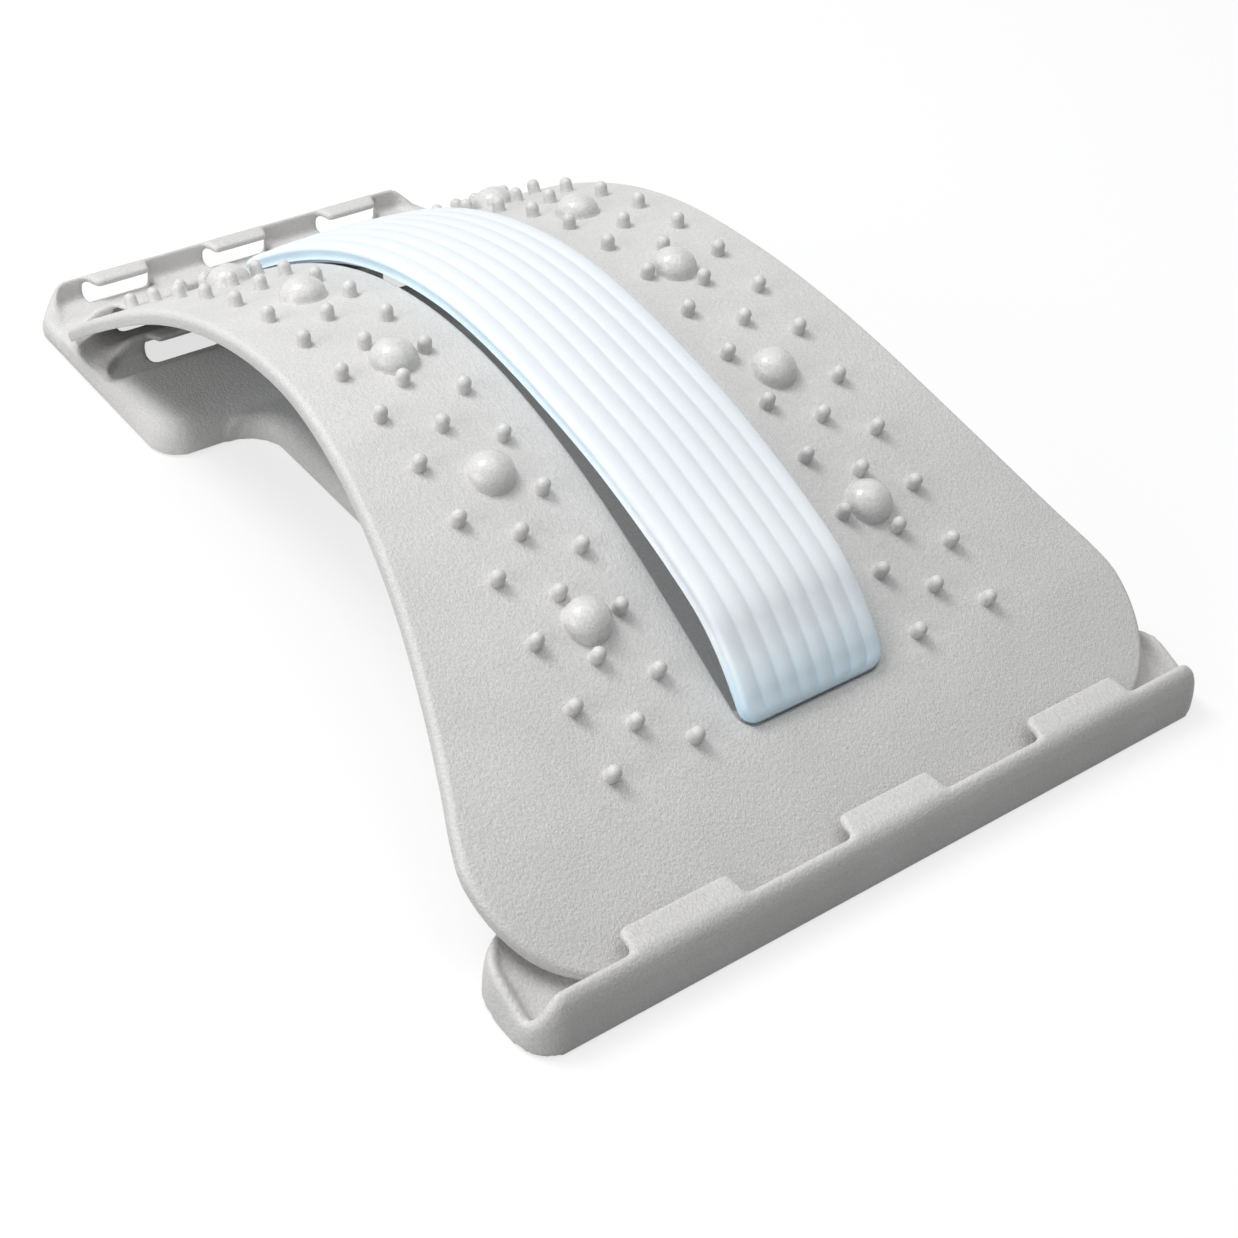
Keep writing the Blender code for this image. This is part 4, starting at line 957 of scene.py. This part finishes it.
# %% The pad, laid on the arch
BACKING_THICK = 0.0012
SEAT_DEPTH = LEDGE_DEPTH - TOUCH_GAP
LIFT = (
    (-0.1490, -SEAT_DEPTH), (-0.1450, -0.0013), (-0.1400, 0.0006), (-0.1340, 0.0028),
    (-0.1260, 0.0051), (-0.1160, 0.0065), (-0.1020, 0.0061), (-0.0840, 0.0048),
    (-0.0660, 0.0034), (-0.0500, 0.0019), (-0.0350, 0.0007), (-0.0150, 0.0001),
    (0.0100, 0.0), (0.0500, -0.0005), (0.1000, -0.0008), (0.1330, -0.0011),
    (0.1446, -SEAT_DEPTH), (0.1490, -SEAT_DEPTH),
)

for vert in pad_shape.verts:
    lift = smooth_through(LIFT, vert.co.y) + BACKING_THICK + TOUCH_GAP
    vert.co = on_arch(vert.co.x, vert.co.y, vert.co.z + lift)
ribbed_pad = keep_piece("ribbed_pad", pad_shape, body="spine_strip", smooth_angle=70.0)
ribbed_pad.data.materials.append(pad_finish)
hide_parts("spine_pad")

# %% [markdown]
# The base is one moulding with soft edges everywhere. The working model's edges are crisp, so a
# copy of it is rebuilt from small even cells and then smoothed, which rounds every edge and fills
# every inner corner by about a millimetre. It is done in two halves, to keep each mesh light. The
# halves overlap a little in the plain web, so that their smoothed ends are hidden in each other.
# The hooks of the far tray's outer wall look deeper on the real object, so their tips are moved
# out first.

# %% The base, softened
CELL = 0.00088
HALVES_MEET_Y = 0.0105
OVERLAP = 0.0028
SOFTEN_STEPS = 7
FAR_HOOK_GROWTH = 0.0016
FAR_HOOK_TIPS_Y = (0.1795, 0.1820)
FAR_HOOK_TIPS_Z = (0.0102, 0.0132)
FAR_HOOK_TIPS_HALF_WIDTH = 0.07


def is_far_hook_tip(place):
    """True for a point of the base at the tip of a hook on the far tray's outer wall."""
    return (FAR_HOOK_TIPS_Y[0] < place.y < FAR_HOOK_TIPS_Y[1]
            and FAR_HOOK_TIPS_Z[0] < place.z < FAR_HOOK_TIPS_Z[1]
            and abs(place.x) < FAR_HOOK_TIPS_HALF_WIDTH)


def soft_half(name, keep_near):
    """One half of the base, rebuilt in even cells and smoothed."""
    shape = bmesh.new()
    shape.from_mesh(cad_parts["base"].data)
    bmesh.ops.remove_doubles(shape, verts=shape.verts, dist=1e-6)
    for vert in shape.verts:
        if is_far_hook_tip(vert.co):
            vert.co.y -= FAR_HOOK_GROWTH
    everything = list(shape.verts) + list(shape.edges) + list(shape.faces)
    meet_y = HALVES_MEET_Y + (OVERLAP if keep_near else -OVERLAP)
    sliced = bmesh.ops.bisect_plane(shape, geom=everything, dist=1e-7,
                                    plane_co=(0.0, meet_y, 0.0),
                                    plane_no=(0.0, 1.0, 0.0),
                                    clear_outer=keep_near, clear_inner=not keep_near)
    rim = [item for item in sliced["geom_cut"] if isinstance(item, bmesh.types.BMEdge)]
    bmesh.ops.holes_fill(shape, edges=rim)
    bmesh.ops.recalc_face_normals(shape, faces=shape.faces)
    rough = bpy.data.meshes.new("rough half")
    shape.to_mesh(rough)
    shape.free()
    holder = bpy.data.objects.new("rough half", rough)
    bpy.context.scene.collection.objects.link(holder)
    cells_step = holder.modifiers.new("even cells", "REMESH")
    cells_step.mode = "VOXEL"
    cells_step.voxel_size = CELL
    soften = holder.modifiers.new("soften", "SMOOTH")
    soften.factor = 0.5
    soften.iterations = SOFTEN_STEPS
    done = bmesh.new()
    done.from_object(holder, bpy.context.evaluated_depsgraph_get())
    bpy.data.objects.remove(holder, do_unlink=True)
    bpy.data.meshes.remove(rough)
    piece = keep_piece(name, done, smooth_angle=60.0)
    piece.data.materials.append(shell_finish)
    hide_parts("base")


soft_half("base_near_half", keep_near=True)
soft_half("base_far_half", keep_near=False)

# %% [markdown]
# The backing, the magnets and the plugs keep the working model's shape, which is right, and get
# their finishes. The loop also gives one to the nodes that are replaced above.

# %% Finishes for the carried-over pieces
for name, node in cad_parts.items():
    if name.startswith("magnet_plug"):
        finish = plug_finish
    elif name.startswith("magnet"):
        finish = ferrite_finish
    elif name == "pad_backing":
        finish = sheet_finish
    else:
        finish = shell_finish
    node.data.materials.clear()
    node.data.materials.append(finish)
print("finished", len(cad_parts), "carried-over nodes")

# %% [markdown]
# Last, the view layer is brought up to date.

# %% The end
bpy.context.view_layer.update()
